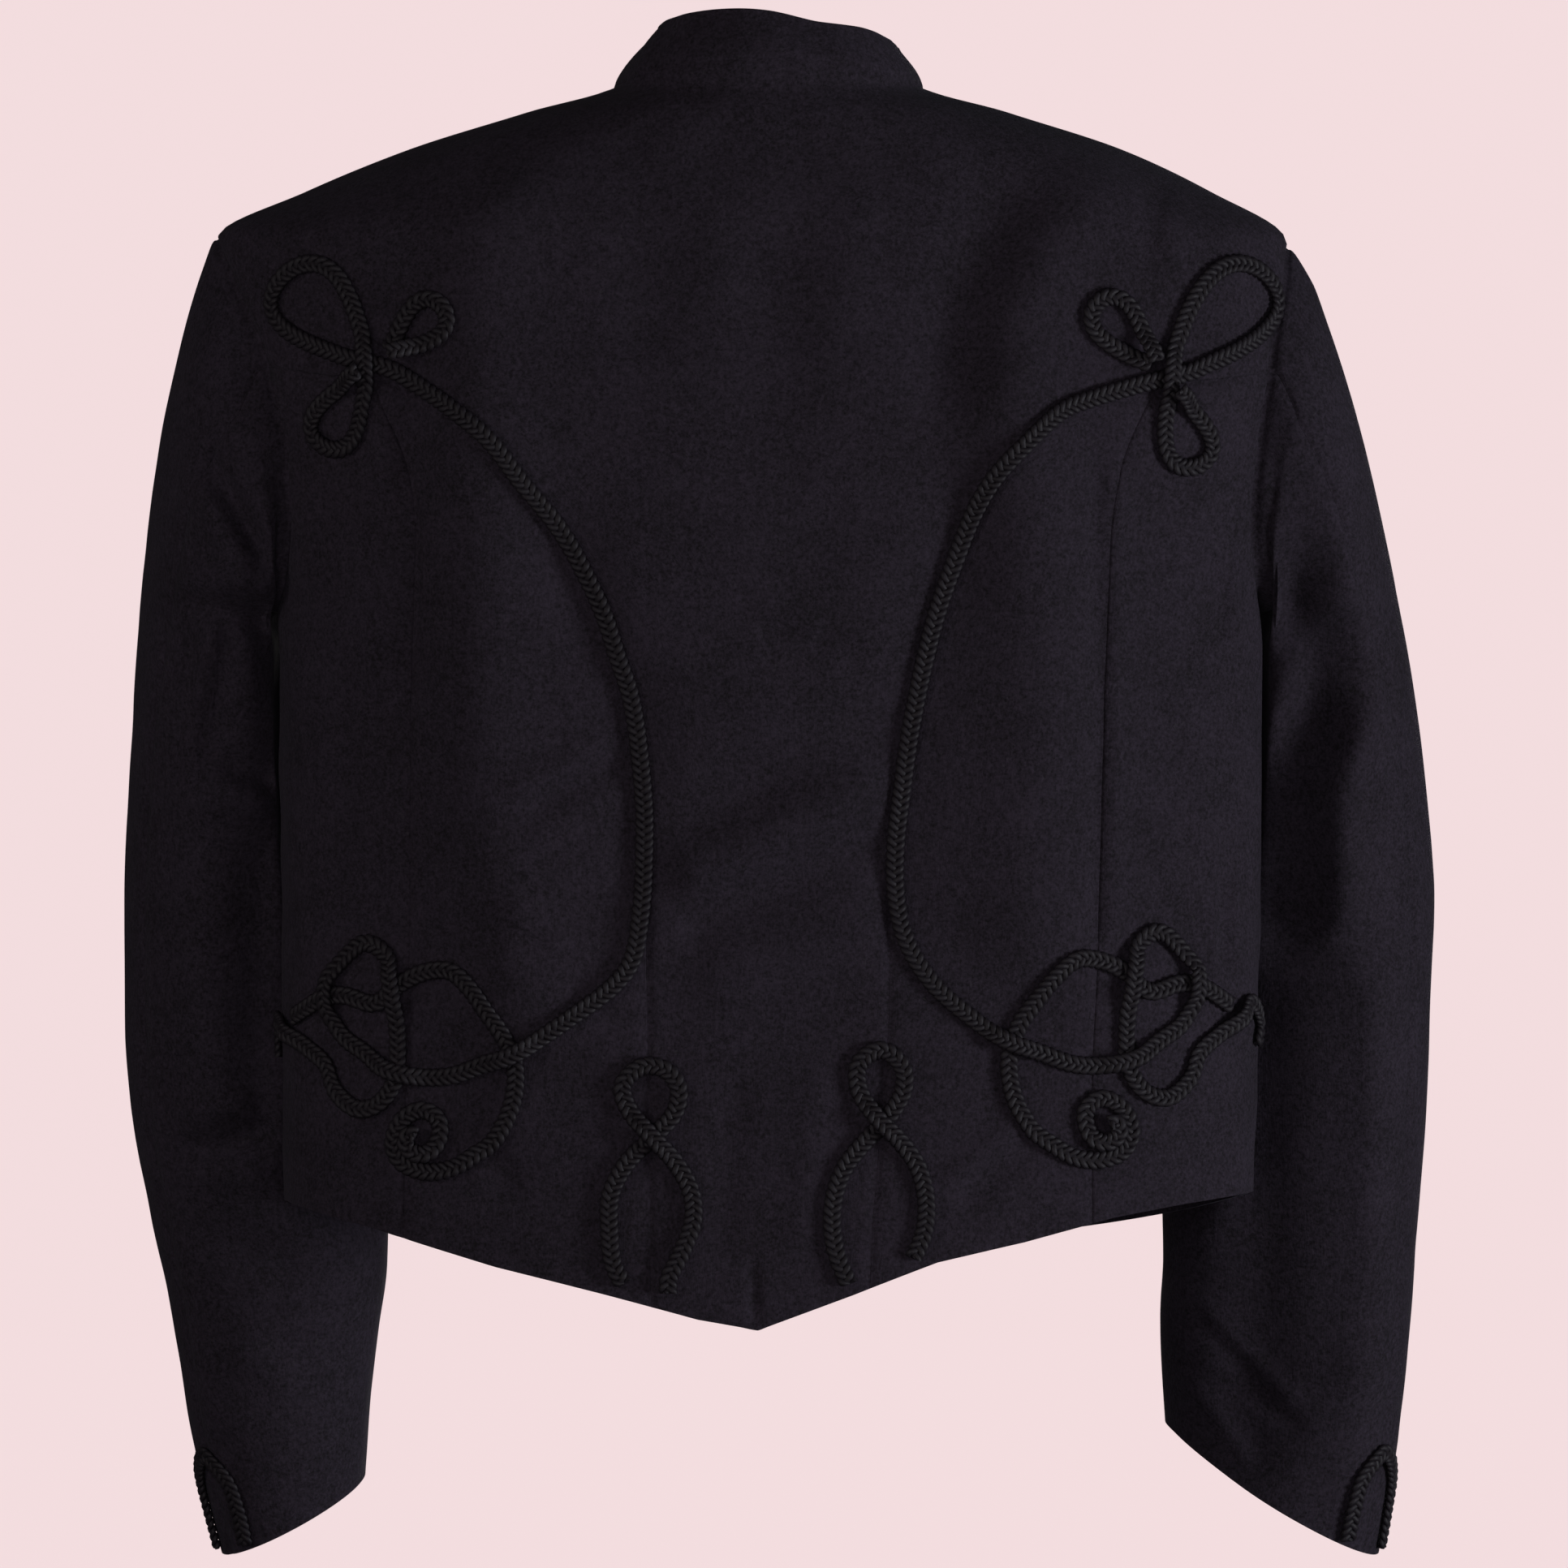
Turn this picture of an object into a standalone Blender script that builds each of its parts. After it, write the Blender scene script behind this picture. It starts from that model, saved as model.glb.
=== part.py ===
# Hussar jacket, hollow and filled out, as it hangs: back to -Y, wearer's right to +X, up +Z.
# The origin is the middle of the neck, level with the neck ends of the shoulder seams.
# Tables are in millimetres and turned to metres when the meshes are made.
import math
import bpy
import bmesh
import numpy as np
from mathutils import Vector
from mathutils.bvhtree import BVHTree

MM = 0.001
CLOTH_WALL = 2.0
COLLAR_WALL = 3.0
SEAM_GAP = 0.3
CORD_WIDTH = 8.0
CORD_THICK = 3.3
CORD_GAP = 0.5
CORD_OVER_GAP = 0.5
FRONT_LAP = 10.0
FRONT_UNDERLAP = 15.0
LAP_DROP = 2.7
BUTTON_RADIUS = 7.0
BUTTON_HEIGHT = 4.5
BUTTON_HEIGHTS = (-78, -140, -202, -264, -326, -388, -450)
ARM_STEPS = 20
PRINCESS_INDEX = 4
SIDE_SEAM_INDEX = 12
HIND_SEAM_INDEX = 4
FORE_SEAM_INDEX = 15
SHOULDER_STEPS = 7
SEAM_ROWS = 14
BACK_COLUMNS = 14
SIDE_BACK_COLUMNS = 5
SLEEVE_ROWS = 15
CORNER_FULLNESS = 0.05

# Level sections of the body: height, half width left, half width right, depth to the back, to the front.
BODY_SECTIONS = [
    (14, 66, 66, 60, 24),
    (0, 66, 66, 60, 25),
    (-12, 103, 103, 64, 36),
    (-28, 154, 152, 69, 56),
    (-46, 198, 190, 75, 67),
    (-66, 236, 222, 80, 74),
    (-92, 232, 226, 85, 80),
    (-120, 226, 226, 89, 84),
    (-160, 217, 221, 92, 87),
    (-195, 212, 215, 92, 87),
    (-232, 210, 212, 91, 86),
    (-300, 209, 212, 86, 83),
    (-360, 208, 211, 82, 81),
    (-430, 208, 210, 84, 82),
    (-500, 207, 208, 88, 83),
    (-545, 207, 208, 90, 84),
]

# Large folds of the back: first end x, z, second end x, z, half width, height (in is negative).
BODY_FOLDS = [
    (148, -38, 110, -86, 19, 5.0),
    (110, -80, 106, -138, 21, 4.5),
    (106, -38, 82, -86, 19, -4.5),
    (82, -80, 72, -142, 19, -4.5),
    (108, -148, 117, -262, 25, 7.0),
    (117, -256, 114, -376, 25, 7.0),
    (92, -176, 60, -270, 19, -4.5),
    (60, -262, 55, -362, 19, -4.5),
    (170, -170, 172, -380, 26, -3.0),
    (-118, -40, -124, -140, 22, 4.5),
    (-124, -134, -122, -300, 24, 7.5),
    (-122, -292, -98, -410, 24, 6.5),
    (-96, -186, -66, -250, 19, -4.0),
    (-62, -246, -54, -350, 19, -3.5),
    (-172, -170, -174, -380, 26, -3.0),
    (-40, -341, 50, -298, 15, 3.8),
    (-37, -366, 50, -326, 14, -3.0),
]

# Folds of the sleeves as seen from the back: the same columns.
SLEEVE_FOLDS = [
    (229, -164, 246, -262, 15, -6.0),
    (246, -262, 226, -368, 16, -6.0),
    (-246, -155, -216, -207, 14, -5.0),
    (-236, -232, -243, -290, 12, -4.0),
    (-262, -286, -208, -296, 12, -6.0),
    (-250, -450, -216, -460, 11, -5.0),
]

# Neck edge of the fronts: distance from the middle, height.
FRONT_NECK = [(0, -56), (28, -51), (48, -39), (60, -24), (65, -10), (66, 0)]
FRONT_NECK_ANGLES = (0, 5, 11, 18, 26, 35, 45, 56, 69, 90)
BACK_NECK_RISE = 12.0

# Hem of the back: x, height.
BACK_HEM = [
    (-207, -478.5), (-162, -490), (-113, -506.5), (-68, -518.5), (-30, -529), (-4, -533.5),
    (36.5, -518.5), (71.5, -504.5), (106, -496), (141, -485.5), (169, -480), (208, -474.5),
]
FRONT_HEM_MIDDLE = -500.0

# Armholes: side, height of the shoulder tip, lowest height, middle y, half width.
ARMHOLES = {1: (-69, -228, 3, 39), -1: (-65, -228, 3, 39)}

# Curved back seams, the cord line first: x, height.
PRINCESS = {
    1: [(166.5, -128.5), (159.5, -129), (137.5, -135.5), (123.5, -141), (109.5, -153.5), (94, -172.5),
        (82, -201), (71.5, -231.5), (64.5, -262.5), (59, -294), (55.5, -322), (54, -346.5), (52, -381),
        (51, -412.5), (45, -485.5)],
    -1: [(-168.5, -127), (-163, -128), (-150.5, -131.5), (-134.5, -139.5), (-117.5, -153), (-104.5, -171),
         (-92, -187), (-82, -203.5), (-71.5, -224.5), (-64.5, -245.5), (-59, -262.5), (-55, -287),
         (-53, -311.5), (-52.5, -340), (-52, -381), (-51.5, -412.5), (-50.5, -485.5)],
}
PRINCESS_HEM = {1: 43.5, -1: -50.0}
SECOND_SEAM = {
    1: [(149.5, -172.5), (144.5, -242), (141, -374), (139, -423)],
    -1: [(-153, -172.5), (-153, -242), (-154, -374), (-155, -423)],
}
SECOND_HEM = {1: 139.0, -1: -156.0}
SIDE_SEAM_ANGLE = 107.0

# Sleeves from the armhole to the cuff: outer x, z, inner x, z, forward, half depth, drop at the back.
SLEEVES = {
    1: [
        (223, -69, 212, -228, 3, 39, 0),
        (233, -84, 215, -233, 4, 41, 0),
        (241, -105, 211, -241, 7, 46, 0),
        (250, -133, 206, -255, 14, 53, 0),
        (258, -163, 200, -274, 23, 58, 0),
        (265.5, -196, 194, -298, 33, 62, 1),
        (272, -228, 187, -324, 44, 62, 1),
        (278.5, -266, 183, -352, 53, 63, 2),
        (283.5, -308, 176, -384, 62, 60, 3),
        (286.5, -348, 172, -414, 68, 58, 4),
        (285, -394, 170, -446, 74, 56, 5),
        (283, -442, 169.5, -476, 79, 54, 6),
        (279.5, -488, 170, -504, 86, 52, 7),
        (276.5, -530, 168.5, -530, 95, 51, 8),
        (272, -576, 169.5, -552, 103, 50, 8),
        (263, -630, 171, -574, 111, 49, 9),
    ],
    -1: [
        (235, -65, 210, -228, 3, 39, 0),
        (241, -78, 213, -233, 4, 41, 0),
        (247.5, -97, 209, -241, 7, 46, 0),
        (254, -122, 204, -255, 14, 53, 0),
        (260.5, -152, 198, -274, 23, 58, 0),
        (265.5, -186, 192, -298, 33, 61, 1),
        (269.5, -224, 185, -324, 44, 61, 1),
        (272.5, -266, 182, -352, 53, 62, 2),
        (275, -308, 175, -384, 62, 59, 3),
        (276.5, -350, 170, -416, 67.5, 56.5, 4),
        (276.5, -396, 166, -448, 72.5, 56, 5),
        (274, -436, 163, -478, 77, 54, 6),
        (266, -482, 163.5, -506, 84, 52, 7),
        (257, -524, 167, -534, 93.5, 50, 7),
        (248.5, -576, 171, -566, 102, 48, 7),
        (235, -630, 173, -597, 111, 46, 7),
    ],
}
HIND_SEAM_TURN = [(0.0, 72), (0.12, 70), (0.3, 52), (0.5, 34), (1.0, 30)]
FORE_SEAM_TURN = [(0.0, -90), (0.4, -92), (1.0, -100)]
SLEEVE_CLEAR = 4.5
SLEEVE_SWING = 20.0

# Stand collar: angle round the neck from the middle of the back, rise, lean inwards.
COLLAR = [
    (-182, 27, 5), (-140, 27, 10), (-90, 25, 19), (-45, 24, 12), (-15, 22, 9), (0, 20.5, 9),
    (25, 17.5, 9), (50, 19, 9), (70, 18.5, 10), (90, 17.5, 10), (140, 23, 8), (182, 27, 5),
]

# Sewn cord, x and height as seen from the back. The side knot and the arc are for the right side.
MAIN_CORD = {
    1: [(159.5, -129), (137.5, -135.5), (123.5, -141), (109.5, -153.5), (94, -172.5), (82, -201),
        (71.5, -231.5), (64.5, -262.5), (59, -294), (55.5, -322), (55, -346.5), (59, -367),
        (71.5, -386.5), (90, -402.5), (102.5, -410.5)],
    -1: [(-163, -122), (-150.5, -128.5), (-134.5, -139), (-117.5, -153), (-104.5, -171), (-92, -187),
         (-82, -203.5), (-71.5, -224.5), (-64.5, -245.5), (-59, -262.5), (-55, -287), (-53, -311.5),
         (-53, -332.5), (-54, -353), (-57.5, -374), (-66, -386.5), (-82, -398.5), (-107, -415)],
}
SIDE_KNOT = [
    (116.5, -415), (129, -419.5), (141.5, -420.5), (156, -417.5), (167.5, -409.5), (177, -402),
    (182, -390), (180.5, -376), (169, -363.5), (158.5, -369), (155.5, -380), (153.5, -397),
    (153, -413), (155, -423.5), (162, -432.5), (171.5, -434), (180, -426), (184, -415), (192, -407.5),
    (200, -400), (205.5, -393.5), (209, -401), (208.5, -412),
]
ARC_CORD = [
    (197.5, -395), (186, -387), (176, -385.5), (163, -389), (153, -381), (141.5, -375.5), (130.5, -375),
    (122, -382), (114, -393), (107, -404), (103, -417), (104.5, -432), (111, -446), (121, -454),
    (130.5, -459.5), (141.5, -461), (151.5, -457), (155, -448.5), (151.5, -439), (143, -434.5),
    (136, -439), (135.5, -446),
]
LEFT_KNOT_SHIFT = (-4.5, -5.0)

# Loops of the shoulder knots: start x, z, far end x, z, half width.
KNOT_LOOPS = {
    1: {"large": (170, -127, 212, -82, 16), "lower": (171.5, -131, 183, -164, 9.5),
        "small": (163.5, -121, 141, -94, 9.0)},
    -1: {"large": (-170, -120, -206, -82, 15.5), "lower": (-170, -124, -190, -155, 10),
         "small": (-161, -115.5, -138, -96, 8.5)},
}

# Hem loops: x, height from one leg round the loop to the other leg.
HEM_LOOP = {
    1: [(34.5, -514), (28.5, -497.5), (27.5, -481), (32, -465.5), (41, -453.5), (51, -443), (58, -431),
        (57, -420), (48, -413.5), (39, -420), (39, -431), (46, -442.5), (56.5, -453), (64, -464),
        (67.5, -478), (66.5, -492), (62, -503)],
    -1: [(-61.5, -514), (-66, -505), (-67.5, -491), (-67, -475.5), (-60, -462), (-49, -451), (-40, -441),
         (-38, -430), (-44, -422), (-54, -421), (-62, -429), (-59, -440), (-49, -451.5), (-39.5, -462),
         (-33, -474), (-32, -487), (-37, -501), (-42, -511), (-42.5, -518)],
}

# Arch of cord round the opening seam of a cuff: distance across, height above the hem.
CUFF_ARCH = [(-14, 3), (-14.5, 18), (-12, 34), (0, 45), (12, 34), (14.5, 18), (14, 3)]


def smooth_steps(value):
    step = np.clip(value, 0.0, 1.0)
    return step * step * (3 - 2 * step)


def follow(table_x, table_y, x):
    # Smooth line through the rows of a table that never swings past them.
    table_x = np.asarray(table_x, float)
    table_y = np.asarray(table_y, float)
    width = np.diff(table_x)
    rise = np.diff(table_y) / width
    slope = np.zeros(len(table_x))
    slope[0] = rise[0]
    slope[-1] = rise[-1]
    for i in range(1, len(table_x) - 1):
        if rise[i - 1] * rise[i] > 0:
            one = 2 * width[i] + width[i - 1]
            two = width[i] + 2 * width[i - 1]
            slope[i] = (one + two) / (one / rise[i - 1] + two / rise[i])
    x = np.clip(np.asarray(x, float), table_x[0], table_x[-1])
    k = np.clip(np.searchsorted(table_x, x) - 1, 0, len(width) - 1)
    h = width[k]
    t = (x - table_x[k]) / h
    value = table_y[k] * (1 + 2 * t) * (1 - t) ** 2 + slope[k] * h * t * (1 - t) ** 2
    return value + table_y[k + 1] * t * t * (3 - 2 * t) + slope[k + 1] * h * t * t * (t - 1)


def section(z):
    rows = np.array(BODY_SECTIONS[::-1], float)
    return [follow(rows[:, 0], rows[:, k], z) for k in range(1, 5)]


def fold_height(folds, x, z):
    height = np.zeros(np.shape(x))
    for x0, z0, x1, z1, half, rise in folds:
        length = math.hypot(x1 - x0, z1 - z0)
        ux = (x1 - x0) / length
        uz = (z1 - z0) / length
        along = (x - x0) * ux + (z - z0) * uz
        across = (z - z0) * ux - (x - x0) * uz
        past = np.maximum(0, np.abs(along - length / 2) - length / 2 + half)
        height = height + rise * np.exp(-(across / half) ** 2 - (past / half) ** 2)
    return height


def body_point(angle, z):
    # Point of the outer cloth: angle 0 is the middle of the back, +90 degrees the right side.
    angle = np.asarray(angle, float)
    z = np.asarray(z, float)
    s = np.sin(angle)
    c = np.cos(angle)
    left, right, back, front = section(z)
    half = np.where(s >= 0, right, left)
    deep = np.where(c >= 0, back, front)
    full = 1 + CORNER_FULLNESS * (2 * s * c) ** 2
    x = half * s * full
    y = -deep * c * full
    out_x = s / half
    out_y = -c / deep
    size = np.sqrt(out_x ** 2 + out_y ** 2)
    fold = fold_height(BODY_FOLDS, x, z) * smooth_steps(c * 3)
    return np.stack([x + out_x / size * fold, y + out_y / size * fold, z + 0 * x], axis=-1)


def unit(v):
    return v / np.maximum(np.linalg.norm(v, axis=-1, keepdims=True), 1e-12)


def body_normal(angle, z):
    da = 0.004
    dz = 0.6
    across = body_point(angle + da, z) - body_point(angle - da, z)
    up = body_point(angle, z + dz) - body_point(angle, z - dz)
    return unit(np.cross(across, up))


def angle_at(x, z):
    # Angle of the back surface at a given x and height.
    x = np.asarray(x, float)
    left, right, back, front = section(z)
    half = np.where(x >= 0, right, left)
    angle = np.arcsin(np.clip(x / half, -0.999, 0.999))
    for _ in range(8):
        full = 1 + CORNER_FULLNESS * np.sin(2 * angle) ** 2
        angle = np.arcsin(np.clip(x / (half * full), -0.999, 0.999))
    return angle


def angle_at_depth(y, z, side):
    left, right, back, front = section(z)
    deep = np.where(np.asarray(y) <= 0, back, front)
    angle = np.arccos(np.clip(-y / deep, -1, 1))
    for _ in range(8):
        full = 1 + CORNER_FULLNESS * np.sin(2 * angle) ** 2
        angle = np.arccos(np.clip(-y / (deep * full), -1, 1))
    return side * angle


def hem_height(angle):
    angle = np.asarray(angle, float)
    s = np.sin(angle)
    c = np.cos(angle)
    rows = np.array(BACK_HEM, float)
    side = np.where(s >= 0, rows[-1, 1], rows[0, 1])
    back = np.interp(s * 208, rows[:, 0], rows[:, 1])
    front = side + (FRONT_HEM_MIDDLE - side) * c * c
    return np.where(c >= 0, back, front)


def even_points(line, count):
    # A line of (angle, height) rows taken at even lengths along the cloth.
    line = np.asarray(line, float)
    fine = np.linspace(0, len(line) - 1, 60 * len(line))
    angle = np.interp(fine, np.arange(len(line)), line[:, 0])
    z = np.interp(fine, np.arange(len(line)), line[:, 1])
    step = np.linalg.norm(np.diff(body_point(angle, z), axis=0), axis=1)
    run = np.concatenate([[0], np.cumsum(step)])
    want = np.linspace(0, run[-1], count)
    return np.stack([np.interp(want, run, angle), np.interp(want, run, z)], axis=1)


def rounded(points, count):
    # Smooth curve through given points, as evenly spaced points.
    points = np.asarray(points, float)
    ends = np.vstack([2 * points[0] - points[1], points, 2 * points[-1] - points[-2]])
    out = []
    for i in range(1, len(ends) - 2):
        a, b, c, d = ends[i - 1], ends[i], ends[i + 1], ends[i + 2]
        for t in np.linspace(0, 1, 16, endpoint=False):
            out.append(0.5 * (2 * b + (c - a) * t + (2 * a - 5 * b + 4 * c - d) * t * t
                              + (3 * b - a - 3 * c + d) * t ** 3))
    out.append(points[-1])
    out = np.array(out)
    run = np.concatenate([[0], np.cumsum(np.linalg.norm(np.diff(out, axis=0), axis=1))])
    want = np.linspace(0, run[-1], count)
    return np.stack([np.interp(want, run, out[:, k]) for k in range(out.shape[1])], axis=1)


def on_back(points):
    points = np.asarray(points, float)
    return np.stack([angle_at(points[:, 0], points[:, 1]), points[:, 1]], axis=1)


def seam_lines(side):
    # Every seam of one side as (angle, height) rows; neighbours share the same rows.
    tip, low, middle, half = ARMHOLES[side]
    turn = np.linspace(0, 2 * math.pi, ARM_STEPS, endpoint=False)
    z = (tip + low) / 2 + (tip - low) / 2 * np.cos(turn)
    y = middle - half * np.sin(turn)
    arm = np.stack([angle_at_depth(y, z, side), z], axis=1)
    shoulder = even_points([(side * math.pi / 2, 0), tuple(arm[0])], SHOULDER_STEPS + 1)
    start = arm[PRINCESS_INDEX]
    line = on_back(rounded(PRINCESS[side], 80))
    hem_angle = angle_at(PRINCESS_HEM[side], -520)
    line = np.vstack([line, [(hem_angle, hem_height(hem_angle))]])
    head = even_points(np.vstack([start, line[0]]), 3)
    top = even_points(line[:2], 2)[1]
    rest = even_points(line[1:], SEAM_ROWS + 1)
    second_end = angle_at(SECOND_HEM[side], -485)
    second = on_back(rounded([PRINCESS[side][0]] + SECOND_SEAM[side], 60))
    second = np.vstack([second, [(second_end, hem_height(second_end))]])
    second = even_points(second, SEAM_ROWS + 1)
    side_angle = side * math.radians(SIDE_SEAM_ANGLE)
    low_end = (side_angle, float(hem_height(side_angle)))
    flank = even_points([tuple(arm[SIDE_SEAM_INDEX]), low_end], SEAM_ROWS + 1)
    return {"arm": arm, "shoulder": shoulder, "head": head, "top": top, "princess": rest,
            "second": second, "flank": flank}


def neck_line():
    # Neck edge in three runs: left front from the middle, back, right front to the middle.
    table = np.array(FRONT_NECK, float)
    away = np.sin(np.linspace(0, math.pi / 2, 400)) * table[-1, 0]
    z = follow(table[:, 0], table[:, 1], away)
    turn = np.arcsin(np.clip(away / section(z)[1], -1, 1))
    for _ in range(8):
        full = 1 + CORNER_FULLNESS * np.sin(2 * turn) ** 2
        turn = np.arcsin(np.clip(away / (section(z)[1] * full), -1, 1))
    turn[-1] = math.pi / 2
    want = np.radians(FRONT_NECK_ANGLES)
    z = np.interp(want, turn, z)
    turn = want
    right = np.stack([math.pi - turn, z], axis=1)[::-1]
    angle = np.linspace(-math.pi / 2, math.pi / 2, BACK_COLUMNS + 1)
    back = np.stack([angle, BACK_NECK_RISE * np.cos(angle) ** 2], axis=1)
    left = np.stack([-math.pi + turn, z], axis=1)
    return left, back, right


def hem_run(first, last, shares):
    angle = first + (last - first) * np.asarray(shares)
    return np.stack([angle, hem_height(angle)], axis=1)


def shares_of(rows):
    step = np.linalg.norm(np.diff(body_point(rows[:, 0], rows[:, 1]), axis=0), axis=1)
    run = np.concatenate([[0], np.cumsum(step)])
    return run / run[-1]


def angle_shares(rows):
    return (rows[:, 0] - rows[0, 0]) / (rows[-1, 0] - rows[0, 0])


def fill(left, right, top, bottom, spread):
    # Grid between four edges: rows run down, columns run with the angle.
    across = (spread(top) + spread(bottom)) / 2
    down_left = (left[:, 1] - left[0, 1]) / (left[-1, 1] - left[0, 1])
    down_right = (right[:, 1] - right[0, 1]) / (right[-1, 1] - right[0, 1])
    even = (shares_of(left) + shares_of(right)) / 2
    down = (0.375 * (down_left + down_right) + 0.25 * even)[:, None, None]
    s = across[None, :, None]
    grid = (1 - s) * left[:, None] + s * right[:, None] + (1 - down) * top[None] + down * bottom[None]
    corner = (1 - s) * (1 - down) * top[0] + s * (1 - down) * top[-1]
    corner = corner + (1 - s) * down * bottom[0] + s * down * bottom[-1]
    return grid - corner


def pull_in(grid, normal, amount):
    # Draw the four edges of a grid inwards, along the cloth.
    out = grid.copy()
    edges = [
        (grid[:, 0], grid[:, 1], (slice(None), 0)),
        (grid[:, -1], grid[:, -2], (slice(None), -1)),
        (grid[0], grid[1], (0, slice(None))),
        (grid[-1], grid[-2], (-1, slice(None))),
    ]
    for line, inner, where in edges:
        along = unit(np.gradient(line, axis=0))
        way = unit(np.cross(normal[where], along))
        way = way * np.sign(np.sum(way * (inner - line), axis=1, keepdims=True))
        out[where] = out[where] + way * amount
    return out


def cloth_material(name, colour, rough):
    material = bpy.data.materials.new(name)
    material.use_nodes = True
    shader = material.node_tree.nodes["Principled BSDF"]
    shader.inputs["Base Color"].default_value = (*colour, 1)
    shader.inputs["Roughness"].default_value = rough
    shader.inputs["Metallic"].default_value = 0.0
    return material


def add_object(name, points, faces, colour, rough):
    mesh = bpy.data.meshes.new(name)
    mesh.from_pydata([tuple(p) for p in np.asarray(points) * MM], [], faces)
    work = bmesh.new()
    work.from_mesh(mesh)
    bmesh.ops.recalc_face_normals(work, faces=work.faces)
    work.to_mesh(mesh)
    work.free()
    mesh.materials.append(cloth_material(name, colour, rough))
    thing = bpy.data.objects.new(name, mesh)
    JACKET.objects.link(thing)
    return thing


def add_wall(name, outer, inner, colour, rough):
    # Closed cloth wall between an outer and an inner grid of the same size.
    rows, columns = outer.shape[:2]
    points = np.vstack([outer.reshape(-1, 3), inner.reshape(-1, 3)])
    count = rows * columns
    faces = []

    def quad(a, b, c, d):
        faces.append((a, b, c))
        faces.append((a, c, d))

    for r in range(rows - 1):
        for c in range(columns - 1):
            a = r * columns + c
            quad(a, a + columns, a + columns + 1, a + 1)
            quad(count + a, count + a + 1, count + a + columns + 1, count + a + columns)
    ring = [c for c in range(columns)]
    ring += [r * columns + columns - 1 for r in range(1, rows)]
    ring += [(rows - 1) * columns + c for c in range(columns - 2, -1, -1)]
    ring += [r * columns for r in range(rows - 2, 0, -1)]
    for a, b in zip(ring, ring[1:] + ring[:1]):
        if a < b:
            quad(a, b, count + b, count + a)
        else:
            quad(b, count + b, count + a, a)
    thing = add_object(name, points, faces, colour, rough)
    flat = [tuple(p) for p in outer.reshape(-1, 3)]
    tops = [f for f in faces if max(f) < count]
    CLOTH_POINTS.append((flat, tops))
    return thing


def add_panel(name, left, right, top, bottom, spread, drop=None):
    grid = fill(left, right, top, bottom, spread)
    outer = body_point(grid[..., 0], grid[..., 1])
    normal = body_normal(grid[..., 0], grid[..., 1])
    outer = pull_in(outer, normal, SEAM_GAP / 2)
    if drop is not None:
        outer = outer + normal * drop(outer)[..., None]
    return add_wall(name, outer, outer - normal * CLOTH_WALL, WOOL, 0.85)


def sleeve_ring(side, share, turn):
    rows = np.array(SLEEVES[side], float)
    place = np.linspace(0, 1, len(rows))
    ox, oz, ix, iz, forward, deep, drop = [follow(place, rows[:, k], share) for k in range(7)]
    x = (ox + ix) / 2 + (ox - ix) / 2 * np.cos(turn)
    z = (oz + iz) / 2 + (oz - iz) / 2 * np.cos(turn) - drop * np.sin(turn)
    swing = SLEEVE_SWING * smooth_steps((share - 0.09) / 0.2) * (1 - smooth_steps((share - 0.4) / 0.35))
    y = forward - deep * np.sin(turn) + swing * (1 - np.cos(turn)) / 2
    return x, y, z


def clear_of_body(side, x, y, z, clear):
    # Push sleeve points outwards where they would come too near to the body.
    angle = angle_at_depth(y, np.clip(z, -545, 0), side)
    edge = np.abs(body_point(angle, np.clip(z, -545, 0))[..., 0])
    left, right, back, front = section(np.clip(z, -545, 0))
    beside = (y > -back) & (y < front)
    near = np.where(beside, edge + clear - x, -100)
    push = 0.5 * (near + np.sqrt(near * near + 9.0))
    return x + push * smooth_steps((z + 505) / 30)


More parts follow.
